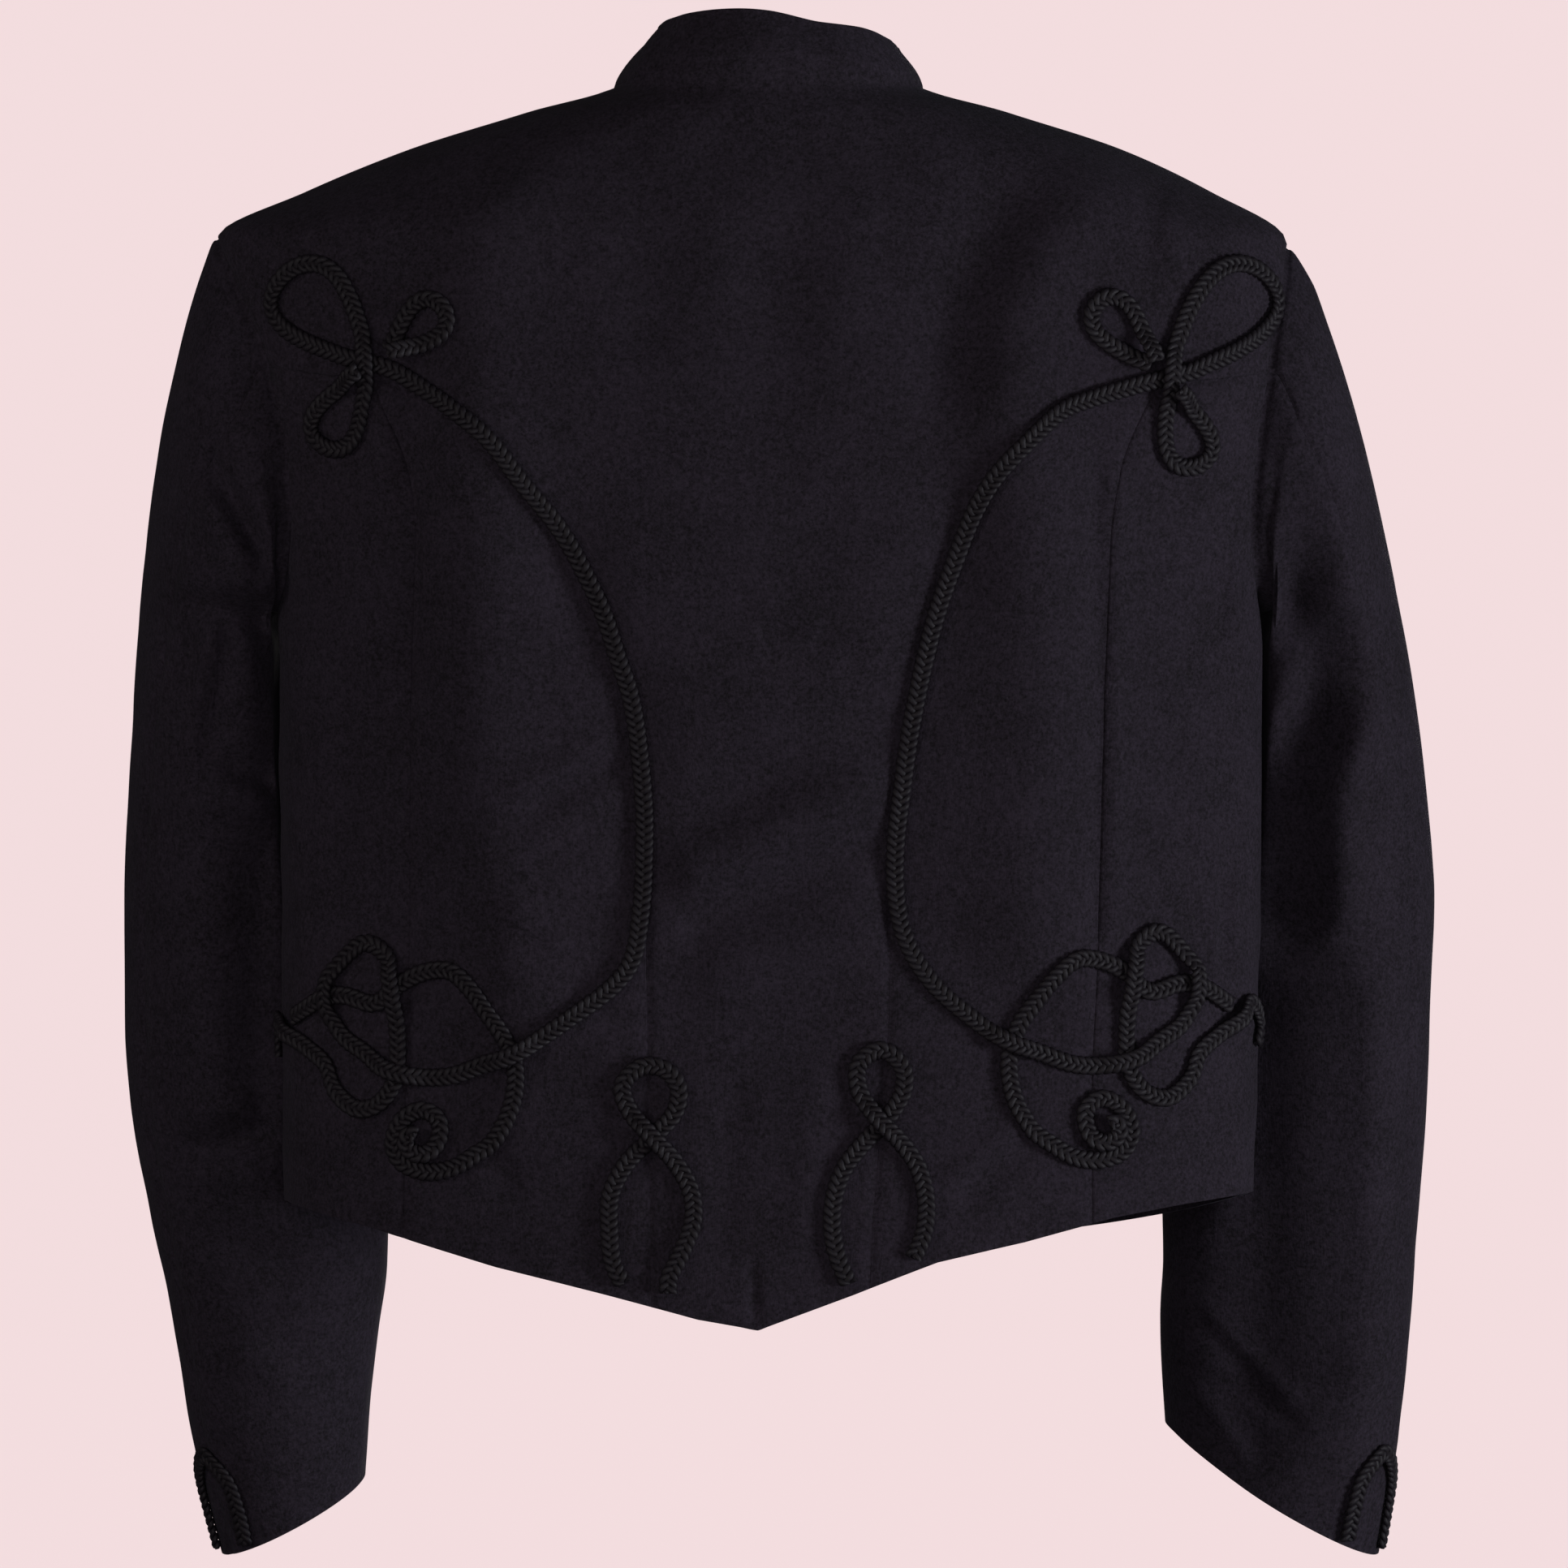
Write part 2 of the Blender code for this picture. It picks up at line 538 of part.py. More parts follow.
def sleeve_grid(side, seams):
    # Whole sleeve as a closed tube of rings; column 0 lies at the shoulder tip.
    arm = seams["arm"]
    base = body_point(arm[:, 0], arm[:, 1])
    normal = body_normal(arm[:, 0], arm[:, 1])
    along = unit(np.roll(base, -1, axis=0) - np.roll(base, 1, axis=0))
    into = unit(np.cross(normal, along))
    middle = base.mean(axis=0)
    into = into * np.sign(np.sum(into * (middle - base), axis=1, keepdims=True))
    turn0 = np.linspace(0, 2 * math.pi, ARM_STEPS, endpoint=False)
    rise = (0.45 + 0.55 * (1 - np.cos(turn0)) / 2)[:, None]
    lifted = normal * rise
    grid = [base + into * SEAM_GAP, base + into * 1.4 + lifted * 1.7, base + into * 2.2 + lifted * 4.0]
    shares = np.linspace(0.075, 1.0, SLEEVE_ROWS)
    hind0 = turn0[HIND_SEAM_INDEX]
    fore0 = turn0[FORE_SEAM_INDEX] - 2 * math.pi
    x0, y0, z0 = sleeve_ring(side, np.zeros(ARM_STEPS), turn0)
    apart = base - np.stack([x0 * side, y0, z0], axis=1)
    for share in shares:
        hind = math.radians(np.interp(share, *zip(*HIND_SEAM_TURN)))
        fore = math.radians(np.interp(share, *zip(*FORE_SEAM_TURN)))
        turn = turn0.copy()
        for j in range(ARM_STEPS):
            signed = turn0[j] if turn0[j] <= hind0 + 1e-6 else turn0[j] - 2 * math.pi
            if signed >= fore0 - 1e-6:
                turn[j] = fore + (hind - fore) * (signed - fore0) / (hind0 - fore0)
            else:
                lower = (turn0[j] - hind0) / (fore0 + 2 * math.pi - hind0)
                turn[j] = hind + (fore + 2 * math.pi - hind) * lower
        x, y, z = sleeve_ring(side, np.full(ARM_STEPS, share), turn)
        fade = 1 - smooth_steps(share / 0.3)
        x = x + apart[:, 0] * side * fade
        y = y + apart[:, 1] * fade
        z = z + apart[:, 2] * fade
        fold = fold_height(SLEEVE_FOLDS, x * side, z) * smooth_steps(np.sin(turn) * 2.5)
        x = x + fold * np.cos(turn) * 0.6
        y = y - fold * np.sin(turn)
        clear = SLEEVE_CLEAR * (0.5 + 0.5 * float(smooth_steps((share - 0.1) / 0.15)))
        x = clear_of_body(side, x, y, z, clear)
        grid.append(np.stack([x * side, y, z], axis=1))
    grid = np.array(grid)
    closed = np.concatenate([grid[:, -1:], grid, grid[:, :1]], axis=1)
    across = closed[:, 2:] - closed[:, :-2]
    down = np.gradient(grid, axis=0)
    face = unit(np.cross(down, across))
    centre = grid.mean(axis=1, keepdims=True)
    flip = np.sign(np.sum(face * (grid - centre), axis=(1, 2)))
    face = face * flip[:, None, None]
    face[0] = normal
    return grid, face


def add_sleeves(side, seams, word):
    grid, face = sleeve_grid(side, seams)
    upper = list(range(FORE_SEAM_INDEX, ARM_STEPS)) + list(range(0, HIND_SEAM_INDEX + 1))
    under = list(range(HIND_SEAM_INDEX, FORE_SEAM_INDEX + 1))
    for name, picks in (("sleeve_upper_", upper), ("sleeve_under_", under)):
        part = grid[:, picks]
        skin = face[:, picks]
        outer = pull_in(part, skin, SEAM_GAP / 2)
        line = unit(np.gradient(part[0], axis=0))
        outer[0] = part[0]
        outer[0, 0] = part[0, 0] + line[0] * SEAM_GAP / 2
        outer[0, -1] = part[0, -1] - line[-1] * SEAM_GAP / 2
        add_wall(name + word, outer, outer - skin * CLOTH_WALL, WOOL, 0.85)


def add_collar(neck):
    rows = np.vstack([neck[0][:-1], neck[1][:-1], neck[2]])
    base = body_point(rows[:, 0], rows[:, 1])
    normal = body_normal(rows[:, 0], rows[:, 1])
    along = unit(np.gradient(base, axis=0))
    into = unit(np.cross(normal, along))
    into = into * np.sign(into[:, 2:3] + 1e-9)
    table = np.array(COLLAR, float)
    around = np.degrees(np.arctan2(base[:, 0], -base[:, 1]))
    rise = follow(table[:, 0], table[:, 1], around)
    lean = follow(table[:, 0], table[:, 2], around)
    flat = unit(base * np.array([1, 1, 0]))
    outer = []
    for share in (0.0, 0.2, 0.6, 1.0):
        ring = base + into * (SEAM_GAP * 2)
        ring = ring + np.array([0, 0, 1]) * (rise * share)[:, None]
        outer.append(ring - flat * (lean * share ** 1.3)[:, None])
    outer = np.array(outer)
    outer[:, 0, 0] = outer[:, 0, 0] - 1.2
    outer[:, -1, 0] = outer[:, -1, 0] + 1.2
    face = np.repeat(flat[None], 4, axis=0).copy()
    face[0] = unit(normal + flat * 0.8)
    face[1] = unit(normal + flat * 2)
    return add_wall("collar", outer, outer - face * COLLAR_WALL, WOOL, 0.85)


def cloth_tree():
    points = []
    faces = []
    for flat, tops in CLOTH_POINTS:
        start = len(points)
        points += flat
        faces += [tuple(start + k for k in face) for face in tops]
    return BVHTree.FromPolygons(points, faces)


def drop_on(tree, place, normal):
    # Height of the cloth under a place, measured along its normal.
    hit = tree.ray_cast(Vector(place + normal * 14), Vector(-normal), 17)
    if hit[0] is None:
        return -0.5
    return 14 - hit[3]


def add_cord(name, tree, places, normals, laid):
    # Flat oval cord along fine points of the cloth, lifted over the cord laid before it.
    run = np.concatenate([[0], np.cumsum(np.linalg.norm(np.diff(places, axis=0), axis=1))])
    way = unit(np.gradient(places, axis=0))
    bend = np.linalg.norm(np.gradient(way, axis=0), axis=1) / np.maximum(np.gradient(run), 1e-9)
    marks = [0.0]
    while marks[-1] < run[-1] - 4:
        tight = np.interp(marks[-1] + 3, run, bend)
        marks.append(marks[-1] + float(np.clip(0.5 / max(tight, 1e-6), 4.8, 11)))
    marks = np.array(marks) * run[-1] / marks[-1]
    spots = np.stack([np.interp(marks, run, places[:, k]) for k in range(3)], axis=1)
    ups = unit(np.stack([np.interp(marks, run, normals[:, k]) for k in range(3)], axis=1))
    lifts = np.zeros(len(marks))
    for i in range(len(marks)):
        near = [(np.linalg.norm(spots[i] - q), h) for q, h in laid]
        near += [(np.linalg.norm(spots[i] - spots[k]), lifts[k]) for k in range(i)
                 if marks[i] - marks[k] > 3.2 * CORD_WIDTH]
        for far, under in near:
            share = smooth_steps((CORD_WIDTH + 7.5 - far) / 5.0)
            lifts[i] = max(lifts[i], share * (under + CORD_THICK + CORD_OVER_GAP))
    forward = unit(np.gradient(spots, axis=0))
    sideways = unit(np.cross(ups, forward))
    ring = [(-0.5, 0.5), (-0.33, 1.0), (0.33, 1.0), (0.5, 0.5), (0.33, 0.0), (-0.33, 0.0)]
    points = []
    for i in range(len(marks)):
        back = marks[i] - marks[max(i - 1, 0)]
        ahead = marks[min(i + 1, len(marks) - 1)] - marks[i]
        lookup = {}
        for u in (-0.5, -0.33, 0.0, 0.33, 0.5):
            place = spots[i] + sideways[i] * CORD_WIDTH * u
            steps = (-0.75 * back, -0.4 * back, 0, 0.4 * ahead, 0.75 * ahead)
            lookup[u] = max(drop_on(tree, place + forward[i] * step, ups[i]) for step in steps)
        for u, share in ring:
            near = max(lookup[u], lookup[0.0] - 0.6, (lookup[u] + lookup[0.0]) / 2)
            height = near + CORD_GAP + CORD_THICK * share + lifts[i]
            points.append(spots[i] + sideways[i] * CORD_WIDTH * u + ups[i] * height)
    count = len(ring)
    faces = []
    for i in range(len(marks) - 1):
        for k in range(count):
            a = i * count + k
            b = i * count + (k + 1) % count
            faces.append((a, b, b + count))
            faces.append((a, b + count, a + count))
    last = (len(marks) - 1) * count
    for k in range(1, count - 1):
        faces.append((0, k + 1, k))
        faces.append((last, last + k, last + k + 1))
    laid += [(spots[i], lifts[i]) for i in range(len(marks))]
    return add_object(name, points, faces, CORD, 0.6)


def loop_points(row):
    # Balloon-shaped loop that leaves its start, rounds the far end and comes back.
    x0, z0, x1, z1, half = row
    t = np.linspace(0.05, 0.95, 15)
    out = np.sin(math.pi * t) ** 2
    wide = np.sin(2 * math.pi * t) - 0.35 * np.sin(4 * math.pi * t)
    length = math.hypot(x1 - x0, z1 - z0)
    side_x = -(z1 - z0) / length
    side_z = (x1 - x0) / length
    x = x0 + (x1 - x0) * out + side_x * half * wide / 1.16
    z = z0 + (z1 - z0) * out + side_z * half * wide / 1.16
    return list(zip(x, z))


def cord_on_back(name, tree, route, laid):
    fine = rounded(route, 300)
    flat = on_back(fine)
    return add_cord(name, tree, body_point(flat[:, 0], flat[:, 1]), body_normal(flat[:, 0], flat[:, 1]), laid)


def add_back_cords(side, tree, word):
    laid = []
    move = (0.0, 0.0) if side > 0 else LEFT_KNOT_SHIFT
    arc = [(side * x + move[0], z + move[1]) for x, z in ARC_CORD]
    cord_on_back("cord_arc_" + word, tree, arc, laid)
    knot = [(side * x + move[0], z + move[1]) for x, z in SIDE_KNOT]
    loops = KNOT_LOOPS[side]
    large = loop_points(loops["large"])
    lower = loop_points(loops["lower"])
    if large[0][1] > large[-1][1]:
        large = large[::-1]
    if lower[0][0] * side > lower[-1][0] * side:
        lower = lower[::-1]
    route = knot[::-1] + MAIN_CORD[side][::-1] + large[1:-1] + lower[1:]
    cord_on_back("cord_main_" + word, tree, route, laid)
    cord_on_back("cord_loop_" + word, tree, loop_points(loops["small"]), laid)
    cord_on_back("cord_hem_" + word, tree, HEM_LOOP[side], laid)


def add_cuff_cord(side, seams, tree, word):
    grid, face = sleeve_grid(side, seams)
    rows = np.arange(grid.shape[0])
    hind = grid[:, HIND_SEAM_INDEX]
    run = np.concatenate([[0], np.cumsum(np.linalg.norm(np.diff(hind[::-1], axis=0), axis=1))])
    places = []
    normals = []
    for across, high in rounded(CUFF_ARCH, 60):
        row = rows[-1] - np.interp(high, run, np.arange(len(run)))
        low = min(int(row), len(rows) - 2)
        part = row - low
        ring = grid[low] * (1 - part) + grid[low + 1] * part
        skin = face[low] * (1 - part) + face[low + 1] * part
        order = [(HIND_SEAM_INDEX + k) % ARM_STEPS for k in range(-4, 5)]
        line = ring[order]
        reach = np.concatenate([[0], np.cumsum(np.linalg.norm(np.diff(line, axis=0), axis=1))])
        want = reach[4] + across
        places.append([np.interp(want, reach, line[:, k]) for k in range(3)])
        normals.append([np.interp(want, reach, skin[order][:, k]) for k in range(3)])
    add_cord("cord_cuff_" + word, tree, np.array(places), unit(np.array(normals)), [])


def add_button(name, z):
    place = body_point(math.pi, z)
    normal = body_normal(math.pi, z)
    across = np.array([1.0, 0.0, 0.0])
    up = unit(np.cross(normal, across))
    crown = BUTTON_HEIGHT + 0.6
    profile = [(0.0, 0.7), (0.75, 0.7), (1.0, 1.5), (0.85, 3.2), (0.5, BUTTON_HEIGHT), (0.0, crown)]
    steps = 12
    points = []
    for share, high in profile[1:-1]:
        for k in range(steps):
            a = 2 * math.pi * k / steps
            flat = across * math.cos(a) + up * math.sin(a)
            points.append(place + flat * BUTTON_RADIUS * share + normal * high)
    points.append(place + normal * profile[0][1])
    points.append(place + normal * profile[-1][1])
    faces = []
    rings = len(profile) - 2
    for r in range(rings - 1):
        for k in range(steps):
            a = r * steps + k
            b = r * steps + (k + 1) % steps
            faces.append((a, b, b + steps, a + steps))
    bottom = rings * steps
    for k in range(steps):
        following = (k + 1) % steps
        faces.append((bottom, following, k))
        faces.append((bottom + 1, (rings - 1) * steps + k, (rings - 1) * steps + following))
    add_object(name, points, faces, BUTTON, 0.4)


def front_drop(outer):
    # The right front steps in to pass under the left one.
    return -LAP_DROP * smooth_steps((40 - outer[..., 0]) / 22)


for old in list(bpy.data.objects):
    bpy.data.objects.remove(old, do_unlink=True)
JACKET = bpy.data.collections.new("hussar_jacket")
bpy.context.scene.collection.children.link(JACKET)
WOOL = (0.022, 0.020, 0.026)
CORD = (0.018, 0.017, 0.020)
BUTTON = (0.020, 0.019, 0.022)
CLOTH_POINTS = []

right_seams = seam_lines(1)
left_seams = seam_lines(-1)
neck_left, neck_back, neck_right = neck_line()


def back_edge(seams):
    arm = seams["arm"][1:PRINCESS_INDEX + 1]
    return np.vstack([seams["shoulder"], arm, seams["head"][1:], seams["princess"]])


left_edge = back_edge(left_seams)
right_edge = back_edge(right_seams)
hem = hem_run(left_edge[-1, 0], right_edge[-1, 0], np.linspace(0, 1, BACK_COLUMNS + 1))
add_panel("back_centre", left_edge, right_edge, neck_back, hem, angle_shares)

for side, seams, word in ((1, right_seams, "right"), (-1, left_seams, "left")):
    inner = seams["princess"]
    outer = seams["second"]
    narrow = np.linspace(0, 1, SIDE_BACK_COLUMNS + 1)[:, None]
    top = inner[0] + (outer[0] - inner[0]) * narrow
    low = hem_run(inner[-1, 0], outer[-1, 0], narrow[:, 0])
    if side > 0:
        add_panel("side_back_right", inner, outer, top, low, shares_of)
    else:
        add_panel("side_back_left", outer, inner, top[::-1], low[::-1], shares_of)

for side, seams, word in ((1, right_seams, "right"), (-1, left_seams, "left")):
    inner = seams["second"]
    outer = seams["flank"]
    top = np.vstack([seams["head"][::-1], seams["arm"][PRINCESS_INDEX + 1:SIDE_SEAM_INDEX + 1]])
    low = hem_run(inner[-1, 0], outer[-1, 0], shares_of(top))
    if side > 0:
        add_panel("side_panel_right", inner, outer, top, low, shares_of)
    else:
        add_panel("side_panel_left", outer, inner, top[::-1], low[::-1], shares_of)

for side, seams, word in ((1, right_seams, "right"), (-1, left_seams, "left")):
    arm = seams["arm"][::-1][:ARM_STEPS - SIDE_SEAM_INDEX]
    edge = np.vstack([seams["shoulder"], arm, seams["flank"][1:]])
    past = FRONT_UNDERLAP if side > 0 else FRONT_LAP
    top_z = FRONT_NECK[0][1]
    half = section(np.array([top_z, FRONT_HEM_MIDDLE]))[0]
    end_top = side * (math.pi + math.asin(past / half[0]))
    end_low = side * (math.pi + math.asin(past / half[1]))
    middle_z = top_z + (FRONT_HEM_MIDDLE - top_z) * (edge[:, 1] - edge[0, 1]) / (edge[-1, 1] - edge[0, 1])
    middle_half = section(middle_z)[0]
    middle = np.stack([side * (math.pi + np.arcsin(past / middle_half)), middle_z], axis=1)
    middle[-1, 1] = hem_height(middle[-1, 0])
    if side > 0:
        top = np.vstack([neck_right[:-1], [(math.pi, top_z), middle[0]]])
        low = hem_run(edge[-1, 0], middle[-1, 0], angle_shares(top))
        add_panel("front_right", edge, middle, top, low, angle_shares, front_drop)
    else:
        top = np.vstack([middle[0], [(-math.pi, top_z)], neck_left[1:]])
        low = hem_run(middle[-1, 0], edge[-1, 0], angle_shares(top))
        add_panel("front_left", middle, edge, top, low, angle_shares)

add_collar((neck_left, neck_back, neck_right))
add_sleeves(1, right_seams, "right")
add_sleeves(-1, left_seams, "left")

cloth = cloth_tree()
add_back_cords(1, cloth, "right")
add_back_cords(-1, cloth, "left")
add_cuff_cord(1, right_seams, cloth, "right")
add_cuff_cord(-1, left_seams, cloth, "left")
for number, height in enumerate(BUTTON_HEIGHTS):
    add_button("button_%d" % (number + 1), height)
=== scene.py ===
import math
import bpy
import numpy as np
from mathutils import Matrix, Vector
from mathutils.bvhtree import BVHTree


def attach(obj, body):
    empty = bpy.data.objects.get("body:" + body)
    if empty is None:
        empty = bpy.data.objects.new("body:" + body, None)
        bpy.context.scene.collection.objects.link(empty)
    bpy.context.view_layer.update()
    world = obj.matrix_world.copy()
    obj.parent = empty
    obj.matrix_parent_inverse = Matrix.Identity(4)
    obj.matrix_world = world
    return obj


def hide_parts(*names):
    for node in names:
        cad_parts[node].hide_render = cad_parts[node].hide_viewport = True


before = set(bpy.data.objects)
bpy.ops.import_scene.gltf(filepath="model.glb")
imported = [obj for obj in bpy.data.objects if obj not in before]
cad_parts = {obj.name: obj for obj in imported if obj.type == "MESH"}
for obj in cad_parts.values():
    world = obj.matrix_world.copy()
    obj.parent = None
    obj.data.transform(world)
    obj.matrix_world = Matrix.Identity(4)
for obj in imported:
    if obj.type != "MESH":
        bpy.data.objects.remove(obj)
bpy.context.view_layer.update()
print("frame loaded:", len(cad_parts), "nodes")

# all tables are in millimetres, back of the jacket to -Y, right side to +X, neck at the origin
mm = 0.001

clothSizes = {
    "wall": 1.9,            # fulled wool, one layer
    "grooveDeep": 0.9,      # how far a pressed seam sinks
    "grooveHalf": 2.6,
    "cornerFullness": 0.05,
    "unevenness": 0.35,     # small waviness of the hanging cloth
    "waveTurn": 150.0,      # radius that turns an angle into a run for the waviness
    "foldFade": 3.0,        # how quickly back and front folds end at the sides
}

meshSteps = {
    "arm": 100, "princessAt": 20, "sideAt": 60, "hindAt": 20, "foreAt": 75,
    "shoulder": 36, "seam": 132, "head": 6, "back": 110, "sideBack": 34, "neckFront": 46, "sleeve": 176,
    "lap": 7, "evening": 120,
}

# level sections: height, half width left, half width right, depth to the back, depth to the front
bodySections = [
    (14, 66, 66, 60, 24), (0, 66, 66, 60, 25), (-12, 103, 103, 64, 36), (-28, 154, 152, 69, 56),
    (-46, 198, 190, 75, 67), (-66, 236, 222, 80, 74), (-92, 232, 226, 85, 80), (-120, 226, 226, 89, 84),
    (-160, 217, 221, 92, 87), (-195, 212, 215, 92, 87), (-232, 210, 212, 91, 86), (-300, 209, 212, 86, 83),
    (-360, 208, 211, 82, 81), (-430, 208, 210, 84, 82), (-500, 207, 208, 88, 83), (-545, 207, 208, 90, 84),
]

# folds: one end x, z, other end x, z, half width, rise (in is negative)
backFolds = [
    (148, -38, 110, -86, 16, 5.5), (110, -80, 104, -138, 18, 6.5), (106, -38, 82, -86, 16, -5.0),
    (82, -80, 72, -142, 16, -5.0), (106, -130, 117, -262, 24, 8.5), (117, -256, 113, -388, 24, 8.0),
    (92, -176, 60, -270, 18, -5.0), (60, -262, 55, -362, 18, -5.0), (170, -170, 172, -380, 26, -3.0),
    (-118, -40, -124, -140, 22, 4.5), (-124, -134, -122, -300, 24, 8.0), (-122, -292, -98, -410, 24, 7.0),
    (-96, -186, -66, -250, 17, -4.5), (-62, -246, -54, -350, 17, -4.0), (-172, -170, -174, -380, 26, -3.0),
    (-40, -341, 50, -298, 11, 3.8), (-37, -364, 50, -324, 10, -3.5), (-30, -386, 50, -358, 12, 2.8),
    (-42, -318, 50, -272, 13, -2.8),
]

# finer creases that only the cloth shell has
backCreases = [
    (167, -44, 164, -80, 6, -1.8), (174, -44, 171, -80, 6, 1.4), (141, -160, 140, -366, 5, -1.6),
    (149, -166, 148, -366, 6, 1.8), (184, -292, 185, -382, 3.6, -1.6), (189, -292, 190, -384, 3.6, 1.8),
    (196, -338, 196.5, -380, 3.4, -1.6), (201, -338, 201.5, -380, 3.4, 1.6), (195, -203, 196, -240, 4, -1.4),
    (200, -203, 201, -240, 4, 1.4), (-166, -128, -167, -260, 9, 2.8), (-151, -136, -151, -262, 8, -2.8),
    (-108, -303, -68, -281, 4.5, 2.0), (-104, -312, -64, -291, 4.5, -2.0), (-100, -322, -64, -304, 5, 1.4),
    (-6, -226, 24, -232, 4, 1.4), (-4, -234, 26, -240, 4.5, -1.6), (22, -236, 42, -245, 4.5, -1.3),
    (14, -164, 44, -176, 9, 1.5), (20, -182, 52, -194, 9, -1.4), (-6.5, -506, -5.5, -531, 3.2, -1.6),
    (76, -470, 108, -444, 5, 1.8), (82, -480, 114, -454, 5, -1.6), (-122, -452, -108, -474, 6, -1.5),
    (-112, -350, -84, -372, 8, 1.8), (-104, -366, -76, -388, 8, -1.6), (-26, -54, -18, -92, 9, 1.4),
    (-58, -36, -50, -120, 14, -1.6), (8, -60, 4, -150, 16, -1.4), (40, -46, 28, -120, 13, 1.6),
    (20, -420, 14, -498, 9, 1.4), (-14, -425, -20, -500, 8, -1.4), (160, -436, 166, -474, 6, 1.6),
    (-182, -436, -178, -476, 7, 1.5),
]
frontCreases = [
    (120, -60, 60, -170, 18, -3.0), (-125, -60, -66, -165, 18, -3.0), (150, -150, 100, -210, 12, 2.2),
    (-152, -146, -104, -214, 12, 2.2), (110, -230, 60, -330, 14, 2.0), (-114, -240, -70, -322, 14, -2.0),
    (150, -300, 60, -352, 9, -1.8), (-150, -310, -64, -346, 9, 1.8), (168, -240, 166, -420, 9, 2.0),
    (-170, -240, -168, -420, 9, -2.0), (90, -400, 84, -480, 12, -1.6), (-96, -404, -88, -482, 12, 1.6),
]

frontNeck = [(0, -56), (28, -51), (48, -39), (60, -24), (65, -10), (66, 0)]
frontNeckAngles = (0, 5, 11, 18, 26, 35, 45, 56, 69, 90)
backNeckRise = 12.0
backHem = [
    (-207, -478.5), (-162, -490), (-113, -506.5), (-68, -518.5), (-30, -529), (-4, -533.5),
    (36.5, -518.5), (71.5, -504.5), (106, -496), (141, -485.5), (169, -480), (208, -474.5),
]
backHemHalf = 208.0
frontHemMiddle = -500.0
armholes = {1: (-69, -228, 3, 39), -1: (-65, -228, 3, 39)}   # tip, lowest, middle y, half width

# curved back seams, x and height, right side 1 and left side -1
princessSeam = {
    1: [(166.5, -128.5), (159.5, -129), (137.5, -135.5), (123.5, -141), (109.5, -153.5), (94, -172.5),
        (82, -201), (71.5, -231.5), (64.5, -262.5), (59, -294), (55.5, -322), (54, -346.5), (52, -381),
        (51, -412.5), (45, -485.5)],
    -1: [(-168.5, -127), (-163, -128), (-150.5, -131.5), (-134.5, -139.5), (-117.5, -153), (-104.5, -171),
         (-92, -187), (-82, -203.5), (-71.5, -224.5), (-64.5, -245.5), (-59, -262.5), (-55, -287),
         (-53, -311.5), (-52.5, -340), (-52, -381), (-51.5, -412.5), (-50.5, -485.5)],
}
princessHem = {1: (43.5, -520), -1: (-50.0, -520)}
secondSeam = {
    1: [(149.5, -172.5), (144.5, -242), (141, -374), (139, -423)],
    -1: [(-153, -172.5), (-153, -242), (-154, -374), (-155, -423)],
}
secondHem = {1: (139.0, -485), -1: (-156.0, -485)}
sideSeamAngle = 107.0


def softStep(value):
    step = np.clip(value, 0.0, 1.0)
    return step * step * (3 - 2 * step)


def ramp(value, span):
    # rises from 0 at the start of the span to 1 over its length
    start, over = span
    return softStep((value - start) / over)


def unit(v):
    return v / np.maximum(np.linalg.norm(v, axis=-1, keepdims=True), 1e-12)


def runLength(points):
    step = np.linalg.norm(np.diff(points, axis=0), axis=1)
    return np.concatenate([[0], np.cumsum(step)])


def columnsAt(want, places, rows):
    return np.stack([np.interp(want, places, rows[:, k]) for k in range(rows.shape[1])], axis=-1)


def easedBetween(t, width, first, firstSlope, last, lastSlope):
    start = first * (1 + 2 * t) * (1 - t) ** 2 + firstSlope * width * t * (1 - t) ** 2
    return start + last * t * t * (3 - 2 * t) + lastSlope * width * t * t * (t - 1)


def follow(tableX, tableY, x):
    # smooth line through a table that never swings past its rows
    tableX = np.asarray(tableX, float)
    tableY = np.asarray(tableY, float)
    width = np.diff(tableX)
    rise = np.diff(tableY) / width
    slope = np.zeros(len(tableX))
    slope[0] = rise[0]
    slope[-1] = rise[-1]
    for i in range(1, len(tableX) - 1):
        if rise[i - 1] * rise[i] > 0:
            one = 2 * width[i] + width[i - 1]
            two = width[i] + 2 * width[i - 1]
            slope[i] = (one + two) / (one / rise[i - 1] + two / rise[i])
    x = np.clip(np.asarray(x, float), tableX[0], tableX[-1])
    k = np.clip(np.searchsorted(tableX, x) - 1, 0, len(width) - 1)
    t = (x - tableX[k]) / width[k]
    return easedBetween(t, width[k], tableY[k], slope[k], tableY[k + 1], slope[k + 1])


def section(z):
    rows = np.array(bodySections[::-1], float)
    return [follow(rows[:, 0], rows[:, k], z) for k in range(1, 5)]


def foldHeight(folds, x, z):
    height = np.zeros(np.shape(x))
    for x0, z0, x1, z1, half, rise in folds:
        length = math.hypot(x1 - x0, z1 - z0)
        ux = (x1 - x0) / length
        uz = (z1 - z0) / length
        along = (x - x0) * ux + (z - z0) * uz
        across = (z - z0) * ux - (x - x0) * uz
        past = np.maximum(0, np.abs(along - length / 2) - length / 2 + half)
        height = height + rise * np.exp(-(across / half) ** 2 - (past / half) ** 2)
    return height


waveRandom = np.random.default_rng(7)
waveRows = []
for _ in range(9):
    way = waveRandom.uniform(0, 2 * math.pi)
    size = waveRandom.uniform(22, 62)
    waveRows.append((way, size, waveRandom.uniform(0, 2 * math.pi)))


def waviness(a, b):
    total = np.zeros(np.shape(a))
    for way, size, phase in waveRows:
        total = total + np.sin((a * math.cos(way) + b * math.sin(way)) * 2 * math.pi / size + phase)
    return total * clothSizes["unevenness"] / 3


